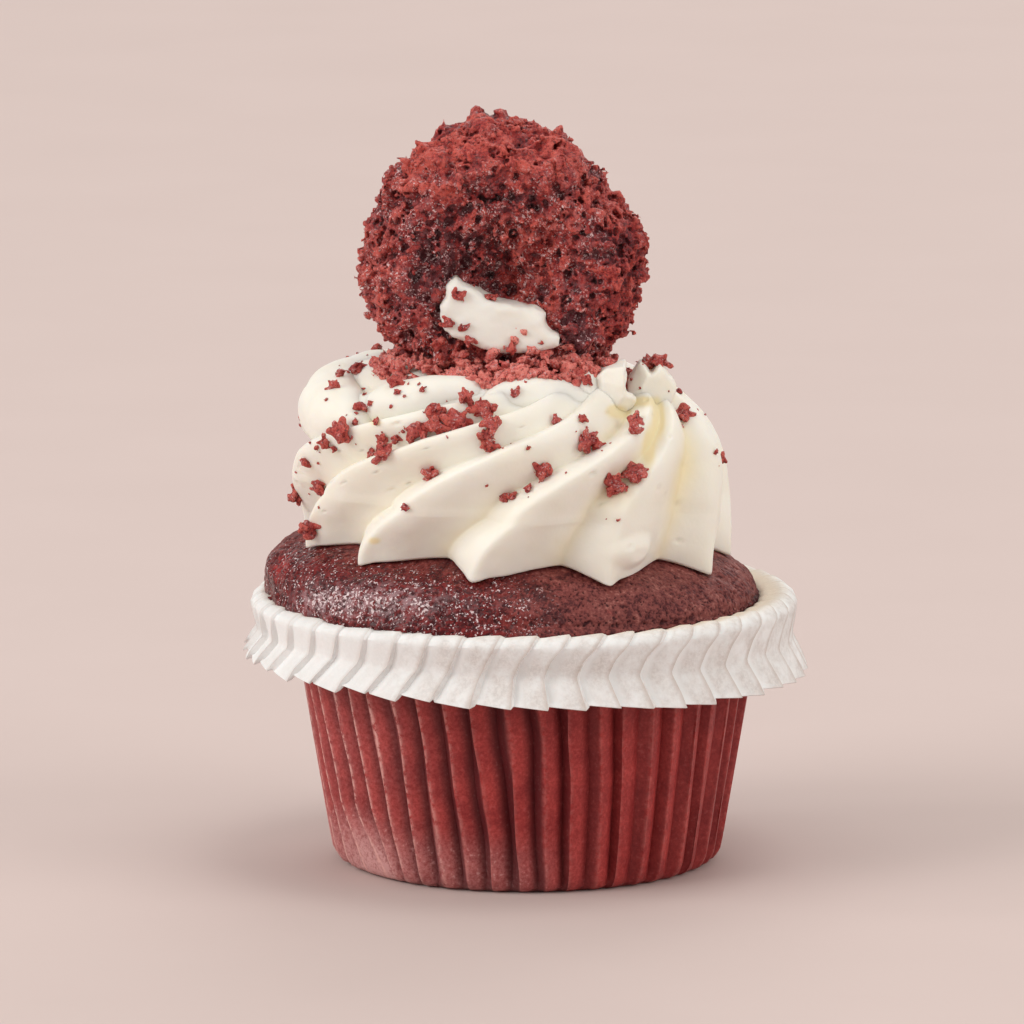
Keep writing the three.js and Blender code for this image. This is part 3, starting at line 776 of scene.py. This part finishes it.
def crust_rings():
    """Rings of the cake, from inside the case up its side and over the dome."""
    turn = np.arange(CRUST_COLUMNS) / CRUST_COLUMNS * TAU
    ring = np.stack([np.cos(turn), np.sin(turn)], axis=1)

    def ring_at(r, z, x):
        flat = ring * np.reshape(r, (-1, 1)) + [x, 0]
        height = z(*flat.T) if callable(z) else np.full(CRUST_COLUMNS, float(z))
        return np.column_stack([flat, height])

    rings = [ring_at(*hidden) for hidden in HIDDEN_RINGS]
    lean = np.abs(np.sin(turn)) ** 1.5
    for z in np.linspace(SIDE_LOW, 37.9, 13):
        def tilted(x, y, z=z):
            return z - DOME_TILT * x * (z - SIDE_LOW) / 1.6

        bulge = np.interp(z, *zip(*BULGE))
        rings.append(ring_at(CRUST_R + bulge * lean, tilted, CRUST_X))
    for angle in np.concatenate([np.linspace(89, 52, 44), np.linspace(48, 8, 9)]):
        rings.append(ring_at(CRUST_R * math.sin(math.radians(angle)), dome_at, CRUST_X))
    return np.array(rings)


def crust_pits(rings):
    """How deep each point lies in the skin's small pits, from 0 to 1."""
    draw = np.random.default_rng(9)
    below = len(HIDDEN_RINGS)
    pits = np.zeros(rings.shape[:2])
    rows = np.arange(below, len(rings) - 9)
    for _ in range(CRUST_PITS):
        k, j = draw.choice(rows), draw.integers(CRUST_COLUMNS)
        wide = draw.lognormal(-1.7, 0.35)
        tall = wide * draw.uniform(0.8, 2.0)
        ks = np.arange(max(below, k - 6), min(len(rings), k + 7))
        js = np.arange(j - 7, j + 8) % CRUST_COLUMNS
        near = np.ix_(ks, js)
        block = rings[near] - rings[k, j]
        across = np.hypot(block[..., 0], block[..., 1])
        away = np.sqrt((across / wide) ** 2 + (block[..., 2] / tall) ** 2)
        depth = np.maximum(0, 1 - away**2) * draw.uniform(0.5, 1)
        pits[near] = np.maximum(pits[near], depth)
    return pits


def crust():
    rings = crust_rings()
    normals = grid_normals(rings)
    shown = np.zeros(rings.shape[:2])
    shown[len(HIDDEN_RINGS):] = 1
    x, y, z = rings[..., 0], rings[..., 1], rings[..., 2]

    # Moist part of the side at the front left: redder and glossier, and where glints are painted
    moist_and_glints = smoothstep(12, -9, x) * smoothstep(8, -8, y) * smoothstep(46, 42, z + 0.03 * x)
    # Painted sheen: a band of highlight low on the front left of the side, placed by its height
    # along the line of sight
    seen = z + y * SIGHT_SLOPE
    sheen = (y < 0) * bell((seen - 35.4) / 2.0) * smoothstep(-33, -28, x)
    sheen = sheen * (0.95 * smoothstep(-8, -20, x) + 0.22 * smoothstep(4, -8, x))
    pits = crust_pits(rings)
    across, along, up = ((v - at) / half for v, at, half in zip((x, y, z), *TORN_SPOT))
    torn = np.exp(-(across**2 + along**2 + up**2))

    lumps = 0.25 * noise(np.stack([x / 5, y / 5, 0 * x], axis=-1)) + 0.28 * noise(rings, 2.4, 1)
    grain = noise(rings, 0.75, 2) * 0.6 + noise(rings, 0.45, 3) * 0.5
    height = lumps + (0.11 + 0.06 * moist_and_glints) * grain
    height = height - 0.32 * pits
    height = height - 0.5 * torn + 0.35 * torn * noise(rings, 0.8, 5)
    rings = rings + normals * (height * shown)[..., None]
    points, faces = loft(rings, low=(0, 0, 0.8), high=(CRUST_X, 0, 47.4))
    torn = torn + 0.35 * noise(rings, 1.3, 6) + 0.15 * noise(rings, 0.6, 7)
    marks = {"pit_shade": pits, "moist_and_glints": moist_and_glints, "sheen": sheen, "torn": smoothstep(0.25, 0.7, torn)}
    marks = {key: np.append(values.ravel(), [0, 0]) for key, values in marks.items()}
    return piece("cake_crust", points, faces, crust_look(), "cake_base", marks)


# Frosting


def crest_turn(ridge, u):
    """A ridge's turn in degrees at height u."""
    foot, waist, shoulder = ridge
    if u < WAIST:
        return foot + waist * ((u - FOOT) / (WAIST - FOOT)) ** 1.8
    return foot + waist + (shoulder - waist) * (u - WAIST) / (SHOULDER - WAIST)


def ridge_turns(u):
    """Every ridge's turn at height u, and how far it is to the next ridge."""
    turns = np.array([crest_turn(ridge, u) for ridge in RIDGES])
    return turns, (np.roll(turns, -1) - turns) % 360


def crest_at(u):
    down = u / FOOT
    if down > 0:
        return FROST_R - FOOT_INSET * down**2, FROST_Z - FOOT_DROP * down
    power = 2 / SQUARENESS
    up = math.radians(u)
    return FROST_R * math.cos(up) ** power, FROST_Z + FROST_RISE * math.sin(up) ** power


def swirl_points(ridge, share, u):
    """Points at height u, each a share of the way to the next ridge, and how deep they lie."""
    crest_r, crest_z = crest_at(u)
    turns, gaps = ridge_turns(u)
    wide = gaps[ridge]
    turn = np.radians(turns[ridge] + wide * share)
    side = np.where(share < VALLEY_AT, share / VALLEY_AT, (1 - share) / (1 - VALLEY_AT))
    crest = np.where(share > VALLEY_AT, ridge + 1, ridge) % len(RIDGES)
    sharp = 0.05 + 0.09 * smoothstep(-14, 12, u)
    side = soft_abs(side, np.where(crest == SOFT_CREST, sharp + 0.5 * smoothstep(4, 20, u), sharp))
    side = 1 - soft_abs(1 - side, 0.05)
    fade = (1 - max(0, u) / 90) ** 0.6 * np.minimum(1, wide / 30)
    depth = VALLEY_DEPTH * fade * (side - VALLEY_BEND * np.sin(TAU * side))
    slope = math.radians(max(0, u))
    out = crest_r - depth * math.cos(slope)
    x, y = FROST_X + out * np.cos(turn), out * np.sin(turn)
    settle = max(0, u / FOOT) * (dome_at(x, y) + SEAT_GAP - (crest_at(FOOT)[1] - DOME_TILT * x))
    z = crest_z - DOME_TILT * x - depth * math.sin(slope) + settle
    # How far into its valley each point lies: the mask for painted yellow shade
    deep = side**1.6 * fade * (0.7 + 0.6 * float(smoothstep(20, 50, u)))
    return np.stack([x, y, z], axis=-1), deep


def swirl_at(degrees, u):
    """The point of the swirl at a turn in degrees and height u."""
    turns, gaps = ridge_turns(u)
    past = (degrees - turns) % 360
    ridge = int(np.argmax(past < gaps))
    return swirl_points(np.array([ridge]), np.array([past[ridge] / gaps[ridge]]), u)[0][0]


def swirl_rings():
    """Rings from the hidden underside up, how deep their points lie, and which of them show."""
    share = np.tile(np.linspace(0, 1, RIDGE_COLUMNS, endpoint=False), len(RIDGES))
    ridge = np.repeat(np.arange(len(RIDGES)), RIDGE_COLUMNS)
    heights = np.concatenate([
        np.linspace(FOOT, 0, 30)[:-1], np.linspace(0, 64, 84), np.linspace(66, 84, 8),
    ])
    rows, deep = zip(*(swirl_points(ridge, share, u) for u in heights))
    rings, deep = np.array(rows), np.array(deep)
    down = np.maximum(0, heights / FOOT)[:, None] ** 2
    tip = down * bell(np.where(share > 0.5, share - 1, share) / 0.07)
    rings[..., :2] += unit(rings[..., :2] - [FROST_X, 0]) * (0.75 * tip)[..., None]
    rings[..., 2] -= 0.45 * tip
    foot = rings[0]
    under = []
    for part in (0.6, 0.86, 0.94, 0.98):
        x, y = FROST_X + (foot[:, 0] - FROST_X) * part, foot[:, 1] * part
        rise = 0.5 * (part > 0.9) * (part - 0.9) * 4
        under.append(np.column_stack([x, y, dome_at(x, y) + SEAT_GAP - 0.5 + rise]))
    shown = np.concatenate([np.zeros(len(under)), np.ones(len(rings))])[:, None]
    deep = np.concatenate([np.zeros((len(under), deep.shape[1])), deep])
    return np.concatenate([under, rings]), deep, shown


def bubbles(rings):
    """How deep each point lies in the small bubbles that burst in the cream."""
    draw = np.random.default_rng(21)
    deep = np.zeros(rings.shape[:2])
    columns = rings.shape[1]
    for _ in range(BUBBLES):
        k, j = draw.integers(8, len(rings) - 14), draw.integers(columns)
        wide = draw.uniform(0.2, 0.5)
        near = np.ix_(np.arange(k - 5, k + 6), np.arange(j - 5, j + 6) % columns)
        away = np.linalg.norm(rings[near] - rings[k, j], axis=-1) / wide
        deep[near] += 0.3 * np.maximum(0, 1 - away**2)
    return deep


def coil(nodes):
    """A rounded form of cream through its nodes, with a soft skin."""
    nodes = np.array(nodes)
    low = (nodes[:, :3] - nodes[:, 3:]).min(axis=0) - 1
    high = (nodes[:, :3] + nodes[:, 3:]).max(axis=0) + 1
    field = Field(low, high, COIL_STEP)
    knots = np.arange(len(nodes))
    for t in np.arange(0, len(nodes) - 1 + 1e-6, 0.25):
        x, y, z, r = (np.interp(t, knots, nodes[:, i]) for i in range(4))
        field.stamp(np.array([x, y, z]), np.array([r, r, r]), blend=1.2)
    field.value += 0.25 * noise(field.points(), 4, 3) + 0.10 * noise(field.points(), 1.5, 4)
    field.close()
    return field.surface()


def outline_distance(x, z, outline):
    """Distance outside a closed outline, below zero inside it."""
    away, inside = np.full(x.shape, 99.0), np.zeros(x.shape, bool)
    for (ax, az), (bx, bz) in zip(outline, np.roll(outline, -1, axis=0)):
        length = (bx - ax) ** 2 + (bz - az) ** 2
        t = np.clip(((x - ax) * (bx - ax) + (z - az) * (bz - az)) / length, 0, 1)
        away = np.minimum(away, np.hypot(x - ax - t * (bx - ax), z - az - t * (bz - az)))
        spans = (az > z) != (bz > z)
        inside ^= spans & (x < ax + (z - az) * (bx - ax) / (bz - az if bz != az else 1))
    return np.where(inside, -away, away)


def torn_slab(outline, middle, half, lean, corner, ragged, facets=0, seed=4):
    """A torn slab of cream with a given outline from the front, its front broken into facets."""
    outline = np.array(outline, float)
    (x0, z0), (x1, z1) = outline.min(axis=0) - 1, outline.max(axis=0) + 1
    field = Field((x0, middle - half - 2, z0), (x1, middle + half + 2, z1), SLAB_STEP)
    p = field.points()
    centre = np.array([(x0 + x1) / 2, middle, (z0 + z1) / 2])
    flat = outline_distance(p[:, 0, :, 0], p[:, 0, :, 2], outline)[:, None, :]
    flat = flat - ragged * (noise(p * [1, 0.3, 1], 1.5, seed) + 0.6 * noise(p, 0.6, seed + 2))
    across = p[..., 1] - middle - lean * (p[..., 2] - centre[2])
    front = np.abs(across) - half + 0.25 * noise(p, 3.2, seed + 1)
    draw = np.random.default_rng(seed)
    for _ in range(facets):
        way = unit(np.array([draw.normal() * 0.5, -1, draw.normal() * 0.4 + 0.2]))
        front = np.maximum(front, (p - centre) @ way - half * draw.uniform(0.65, 1.0))
    a, b = flat + corner, front + corner
    field.value = np.hypot(np.maximum(a, 0), np.maximum(b, 0))
    field.value = field.value + np.minimum(np.maximum(a, b), 0) - corner
    field.value += 0.06 * noise(p, 0.9, 7)
    field.close()
    return field.surface()


def frosting():
    rings, deep, shown = swirl_rings()
    height = 0.16 * noise(rings, 5, 2) + 0.05 * noise(rings, 1.6, 3) - bubbles(rings)
    toe_at, toe_half, toe_out = TOE
    from_toe = np.linalg.norm((rings - toe_at) / toe_half, axis=-1)
    height = height + toe_out * smoothstep(1.05, 0.3, from_toe)
    rings = rings + grid_normals(rings) * (height * shown)[..., None]
    low = (FROST_X, 0, float(dome_at(FROST_X, 0)) + SEAT_GAP - 0.5)
    high = (FROST_X, 0, crest_at(90)[1] - DOME_TILT * FROST_X)
    forms = [loft(rings, low, high)] + [coil(nodes) for nodes in COILS]
    forms += [
        torn_slab(outline, y, half=2.8, lean=0.35, corner=0.25, ragged=0.25, facets=6, seed=seed)
        for outline, y, seed in SLABS
    ]
    points, faces = joined(forms)
    # Painted yellow shade: the valleys' depth, and spots on the front
    valley = np.append(deep.ravel(), np.zeros(len(points) - deep.size))
    seen_z = points[:, 2] + points[:, 1] * SIGHT_SLOPE
    for *where, much in YELLOW_SHADE:
        valley += much * (points[:, 1] < 0) * spot(points[:, 0], seen_z, *where)
    material = cream_look("cream", (0.885, 0.848, 0.745), (0.905, 0.878, 0.795))
    return piece("piped_frosting", points, faces, material, "frosting", {"valley": valley})


# Torn ball of cake


def ball_skin(p):
    """Distance of points outside the ball's smooth form, below zero inside."""
    q = p - BALL
    far = np.maximum(np.linalg.norm(q, axis=-1), 1e-6)
    d = q / far[..., None]
    with np.errstate(divide="ignore", invalid="ignore"):
        front, low = d[..., 1] < 0, d[..., 2] < 0
        squeeze = np.sqrt(d[..., 0] ** 2 + d[..., 2] ** 2 + (d[..., 1] / BALL_BACK) ** 2)
        rounded = np.where(front, BALL_R, BALL_R / squeeze)
        flat = np.where(front, np.minimum(rounded, BALL_FACE / -d[..., 1]), rounded)
        x, z = BALL[0] + d[..., 0] * flat, BALL[2] + d[..., 2] * flat
        dents = sum(
            deep * np.exp(-((x - at_x) ** 2 + (z - at_z) ** 2) / spread**2)
            for at_x, at_z, spread, deep in (FACE_DISH, HOLLOW)
        )
        face = np.where(front, (BALL_FACE - dents) / -d[..., 1], np.inf)
        seat = np.where(low, BALL_SEAT / -d[..., 2], np.inf)
    bare = np.minimum(np.minimum(rounded, face), seat)
    place = d * bare[..., None]
    crag = CRAG * (noise(place, CRAG_SIZE) + 0.8 * noise(place * 2 / CRAG_SIZE + 5))
    return far - bare - crag * np.where(seat < BALL_R, 0.3, 1)


def ball_radius(way):
    """From the ball's middle to its smooth form, along a unit direction."""
    return 1 - ball_skin(BALL + way)


def knobs(p):
    """How far the torn crumb stands out of the smooth form: knobs with creases between them."""
    coarse, middle, fine = noise(p, 2.7, 1), noise(p, 1.3, 2), noise(p, 0.6, 3)
    return 1.5 * np.abs(coarse) + 0.9 * np.abs(middle) + 0.25 * fine - 0.8


def standing(p):
    """How far the torn lumps stand out of the smooth form: more on the brow, less in the dents."""
    x, y, z = np.moveaxis(p, -1, 0)
    brow_at = 94.5 + 2 * noise(p * [1, 0, 0], 4, 9) - 0.012 * (x + 2) ** 2
    brow = smoothstep(brow_at - 1, brow_at + 0.8, z) * smoothstep(101, 96, z) * smoothstep(1, -6, y)
    dents = sum(deep * spot(x, z, *where) for *where, deep in DENTS)
    return knobs(p) + 0.8 * brow - dents


def ball_stamps():
    """What is cut from the ball's skin and added to it: hollows, cracks, grains, then pores."""
    draw = np.random.default_rng(5)
    stamps = []

    def spots(count, shallow, deep):
        way = unit(draw.normal(size=(count, 3)))
        skin = BALL + way * ball_radius(way)[:, None]
        return skin + way * (standing(skin) - draw.uniform(shallow, deep, count))[:, None]

    for at in spots(HOLLOWS, 0, 1.2):
        radii = draw.uniform(0.5, 1.2, 3) * (0.6 if at[2] > CROWN else 1)
        stamps.append((at, radii, turn_matrix(draw), True, 0.15))
    for at in spots(CRACKS, -0.1, 1.1):
        way = unit(draw.normal(size=3) * [1, 1, 1.6])
        for k in range(draw.integers(2, 6)):
            along = at + way * k * 0.5 + draw.normal(size=3) * 0.2
            stamps.append((along, draw.uniform(0.26, 0.6, 3), None, True, 0.1))
    for at in spots(GRAINS, -0.25, 0.45):
        radii = draw.uniform(0.17, 0.38) * draw.uniform(0.7, 1.35, 3)
        stamps.append((at, radii, turn_matrix(draw), False, 0.05))
    for at in spots(PORES, -0.4, 0.55):
        radii = draw.lognormal(-1.30, 0.38) * draw.uniform(0.7, 1.4, 3)
        turn = turn_matrix(draw)
        if at[2] < CROWN or draw.uniform() < 0.4:
            stamps.append((at, radii, turn, True, 0.05))
    return stamps


def ball_field(low, high, step, stamps):
    """The ball between two corners: torn lumps above, open crumb and the cracks between them."""
    field = Field(low, high, step)
    p = field.points()
    skin = ball_skin(p)
    band = np.abs(skin) < 4
    q = p[band]
    field.value = skin
    field.value[band] -= standing(q)
    for at, radii, turn, cut, blend in stamps:
        field.stamp(at, radii, turn, cut, blend)
    thin = 0.26 + smoothstep(97, CROWN, p[..., 2])
    field.value = np.maximum(field.value, field.blurred(0.6) - thin)
    field.close()
    return field


def ball_piece(name, field, material):
    points, quads = field.surface()
    x, y, z = points.T
    # Painted light and shade: the top and the front lighter, the spots in SHADES, with random
    # blotches of tone
    blotch = noise(points, 3.2, 11)
    light = 0.30 * smoothstep(90, 97, z + 2.5 * blotch) + 0.5 * blotch + 0.22 * (y < 2)
    light = light + 0.35 * noise(points, 1.7, 12)
    for *where, more in SHADES:
        light = light + more * (y < 2) * spot(x, z, *where)
    # Where painted haze and glints go: below the top, away from the right, on the front
    moist_and_glints = smoothstep(99, 92, z + 2 * blotch) * smoothstep(13, 7, x + 2 * blotch)
    moist_and_glints = moist_and_glints * smoothstep(4, -2, y)
    marks = {"relief": field.relief(points, 0.9), "light": light, "moist_and_glints": 0.12 + 0.88 * moist_and_glints}
    return piece(name, points, quads, material, "cake_top", marks)


def ball():
    """Three finely modelled parts in front, cut from one field, and the coarser back."""
    material = crumb_look("cake_crumb", *CAKE_RED)
    stamps = ball_stamps()
    whole = ball_field((-25, -17, BALL_FLOOR), (19.5, 1.3, BALL_TOP), FINE_STEP, stamps)
    back = ball_field((-25, 0.7, BALL_FLOOR), (19.5, 18.5, BALL_TOP), COARSE_STEP, stamps)
    x = whole.points()[..., 0]
    made = [ball_piece("cake_ball_back", back, material)]
    for side, low, high in zip(("left", "middle", "right"), PART_CUTS, PART_CUTS[1:]):
        part = whole.trimmed(np.maximum(low - PART_OVERLAP - x, x - high - PART_OVERLAP))
        made.append(ball_piece(f"cake_ball_{side}", part, material))
    return made


# Crumbs


def crumb_shape(seed, step):
    """A ragged cluster about one unit across: its points, quads and relief."""
    draw = np.random.default_rng(seed)
    field = Field((-2.2,) * 3, (2.2,) * 3, step)
    for _ in range(draw.integers(9, 14)):
        at, way = np.zeros(3), unit(draw.normal(size=3) * [1, 1, 0.5])
        size = draw.uniform(0.20, 0.36)
        for _ in range(draw.integers(3, 6)):
            field.stamp(at, size * draw.uniform(0.7, 1.35, 3), turn_matrix(draw), blend=0.05)
            way = unit(way + 0.5 * draw.normal(size=3))
            at = at + way * size * draw.uniform(0.8, 1.1)
            size = max(0.12, size * draw.uniform(0.65, 0.95))
    field.value += 0.13 * noise(field.points(), 0.3, seed)
    field.close()
    points, quads = field.surface()
    relief = field.relief(points, 0.35)
    points = points - points.mean(axis=0)
    return points / np.ptp(points[:, :2], axis=0).max(), quads, relief


def surface_of(*objects):
    """What rays find: the objects' meshes as one tree, in metres."""
    meshes = [made.data for made in objects]
    points, faces = joined(
        ([v.co[:] for v in mesh.vertices], [f.vertices for f in mesh.polygons]) for mesh in meshes
    )
    return BVHTree.FromPolygons(points.tolist(), faces)


def put_crumbs(name, places, material, node, fine, lit):
    """One mesh of crumbs, each at (point, way out there, size). Small ones are coarser."""
    steps = {2.6: fine, 1.5: fine * 1.45, 0.8: fine * 2.1, 0: fine * 3}
    shapes = {
        least: [crumb_shape(seed, step) for seed in range(40, 46)] for least, step in steps.items()
    }
    draw = np.random.default_rng(len(places))
    parts, reliefs = [], []
    for at, normal, size in places:
        kind = shapes[max(least for least in steps if size >= least)]
        shape, quads, relief = kind[draw.integers(len(kind))]
        squash = np.diag(draw.uniform(0.75, 1.15, 3) * [1, 1, 0.85])
        tilt = np.array(Vector(normal).to_track_quat("Z", "Y").to_matrix())
        spin = draw.uniform(0, TAU)
        c, s = math.cos(spin), math.sin(spin)
        about = np.array([[c, -s, 0], [s, c, 0], [0, 0, 1]])
        placed = shape @ (tilt @ about @ squash * size).T + at + np.array(normal) * size * 0.14
        parts.append((placed, quads))
        reliefs.append(relief)
    points, faces = joined(parts)
    # Painted light: the whole mesh lighter by lit, with random tone
    light = lit + 0.3 * noise(points, 2.5, 8)
    marks = {"relief": np.concatenate(reliefs), "light": light, "moist_and_glints": np.full(len(points), 0.5)}
    return piece(name, points, faces, material, node, marks)


def drop(tree, start, way, reach=40):
    """Where a ray from a point in millimetres lands, and the way out there."""
    hit, normal, _, _ = tree.ray_cast(Vector(start) * MM, Vector(way), reach * MM)
    return (np.array(hit) / MM, np.array(normal)) if hit else (None, None)


def sighted_places(tree, crumbs):
    """Where the line of sight through each crumb's (x, z) on the middle plane lands."""
    places = []
    for x, z, size in crumbs:
        way = unit(np.array([x, 0, z]) - CAMERA_AT)
        hit, normal = drop(tree, CAMERA_AT, way, 1700)
        if hit is not None:
            places.append((hit, normal, size))
    return places


def strewn_places(tree):
    """Crumbs over the cream: those with a place of their own, finer ones near, more behind."""
    draw = np.random.default_rng(12)
    places = sighted_places(tree, [(x, z, size * 1.36) for x, z, size in SWIRL_CRUMBS])
    places += sighted_places(tree, [
        (x + draw.normal() * 1.6, z + draw.normal() * 1.3, draw.uniform(0.25, 0.7))
        for x, z, _ in SWIRL_CRUMBS
    ])
    spots = [
        (draw.uniform(-15, 165), draw.uniform(5, 58), 1.7 * draw.uniform(0.6, 1.6))
        for _ in range(BEHIND_LARGE)
    ]
    spots += [
        (draw.uniform(-15, 190), draw.uniform(0, 65), draw.uniform(0.3, 0.8))
        for _ in range(BEHIND_SMALL)
    ]
    for degrees, u, size in spots:
        at = swirl_at(degrees, u)
        out = unit(at - [FROST_X, 0, 46])
        hit, normal = drop(tree, at + out * 8, -out)
        if hit is not None:
            places.append((hit, normal, size))
    return places


def heap_places(tree):
    """Crumbs fallen round the ball's foot, piled up against it in front and thinner behind."""
    draw = np.random.default_rng(31)
    places = []
    for k in range(HEAP_CRUMBS):
        ahead = k < HEAP_AHEAD
        turn = math.radians(draw.uniform(-174, -8) if ahead else draw.uniform(-8, 186))
        r = 12.9 + 5.2 * draw.uniform(0, 1) ** 0.9 if ahead else 13.5 + draw.uniform(0, 2.5)
        x, y = BALL[0] + r * math.cos(turn), BALL[1] + r * math.sin(turn) * (1 if ahead else 0.88)
        hit, _ = drop(tree, (x, y, 90 if ahead else 71), (0, 0, -1))
        size = draw.choice(HEAP_SIZES, p=HEAP_SHARES)
        if hit is None or hit[2] < 58:
            continue
        pile = draw.uniform(0, 1) * max(0, 16.8 - r) * (1.6 + 0.5 * (x < -10)) * ahead
        way = unit(draw.normal(size=3) + [0, -0.5, 0.8])
        places.append((hit + [0, 0, pile], way, size))
    return places


# Dab of cream


def dab():
    points, quads = torn_slab(DAB_OUTLINE, -9.6, half=3.2, lean=0.16, corner=1.1, ragged=0.22)
    material = cream_look("cream_dab", (0.84, 0.81, 0.74), (0.88, 0.86, 0.80))
    marks = {"valley": np.zeros(len(points))}
    return piece("cream_dab_torn", points, quads, material, "cream_dab", marks)


# Stage


def light(name, at, size, power, colour, aim=(0, 0, 0.05)):
    """A round soft light. Places are in metres."""
    data = bpy.data.lights.new(name, "AREA")
    data.shape, data.size, data.energy, data.color = "DISK", size, power, colour
    lamp = bpy.data.objects.new(name, data)
    lamp.location = at
    lamp.rotation_euler = (Vector(aim) - Vector(at)).to_track_quat("-Z", "Y").to_euler()
    bpy.context.scene.collection.objects.link(lamp)


def stage():
    bpy.ops.mesh.primitive_plane_add(size=8, location=(0, 0, 0))
    floor = bpy.context.object
    floor.name = "floor"
    look = Look("floor", Roughness=0.9)
    tone = look.mix(look.noise(40, 3), (0.60, 0.488, 0.458), (0.63, 0.515, 0.485))
    floor.data.materials.append(look.finish(Base_Color=tone))

    light("key", (-1.5, -0.8, 1.0), 1.2, 16, (1, 0.985, 0.96))
    light("spark", (-1.78, 0.04, 0.9), 0.3, 4, (1, 0.985, 0.96))
    light("fill", (1.6, -0.75, 0.9), 1.3, 10, (1, 0.97, 0.935))
    light("top", (0.5, -0.1, 2.0), 1.0, 6.5, (1, 0.98, 0.955))
    light("back", (0.3, 1.6, 1.2), 1.4, 9, (1, 0.975, 0.945), aim=(0, 0, 0.06))
    world = bpy.data.worlds.new("studio")
    world.use_nodes = True
    sky = world.node_tree.nodes["Background"].inputs
    sky["Color"].default_value = (1, 0.965, 0.93, 1)
    sky["Strength"].default_value = 0.57
    bpy.context.scene.world = world
    bpy.context.scene.view_settings.view_transform = "Standard"


def camera():
    data = bpy.data.cameras.new("camera")
    data.sensor_width = SENSOR
    data.lens = SENSOR * FOCAL_PIXELS / FRAME_PIXELS
    data.clip_start, data.clip_end = 0.1, 20
    made = bpy.data.objects.new("camera", data)
    made.location = Vector(CAMERA_AT) * MM
    way = Vector(CAMERA_AIM) - Vector(CAMERA_AT)
    made.rotation_euler = way.to_track_quat("-Z", "Y").to_euler()
    bpy.context.scene.collection.objects.link(made)
    bpy.context.scene.camera = made


paper_case()
cake = crust()
cream = frosting()
torn = ball() + [dab()]
loose = crumb_look("loose_crumb", *LOOSE_RED)
heaped = crumb_look("heap_crumb_lit", *HEAP_RED_LIT)
swirl = surface_of(cream, cake)
strewn = strewn_places(swirl) + sighted_places(surface_of(cream, *torn), BALL_CRUMBS)
# The last number lightens each mesh, painted light; more for the heap, which lies in the ball's
# shade
put_crumbs("strewn_crumbs", strewn, loose, "frosting", 0.125, 0.2)
put_crumbs("crumb_heap", heap_places(swirl), heaped, "frosting", 0.18, 0.4)
stage()
camera()
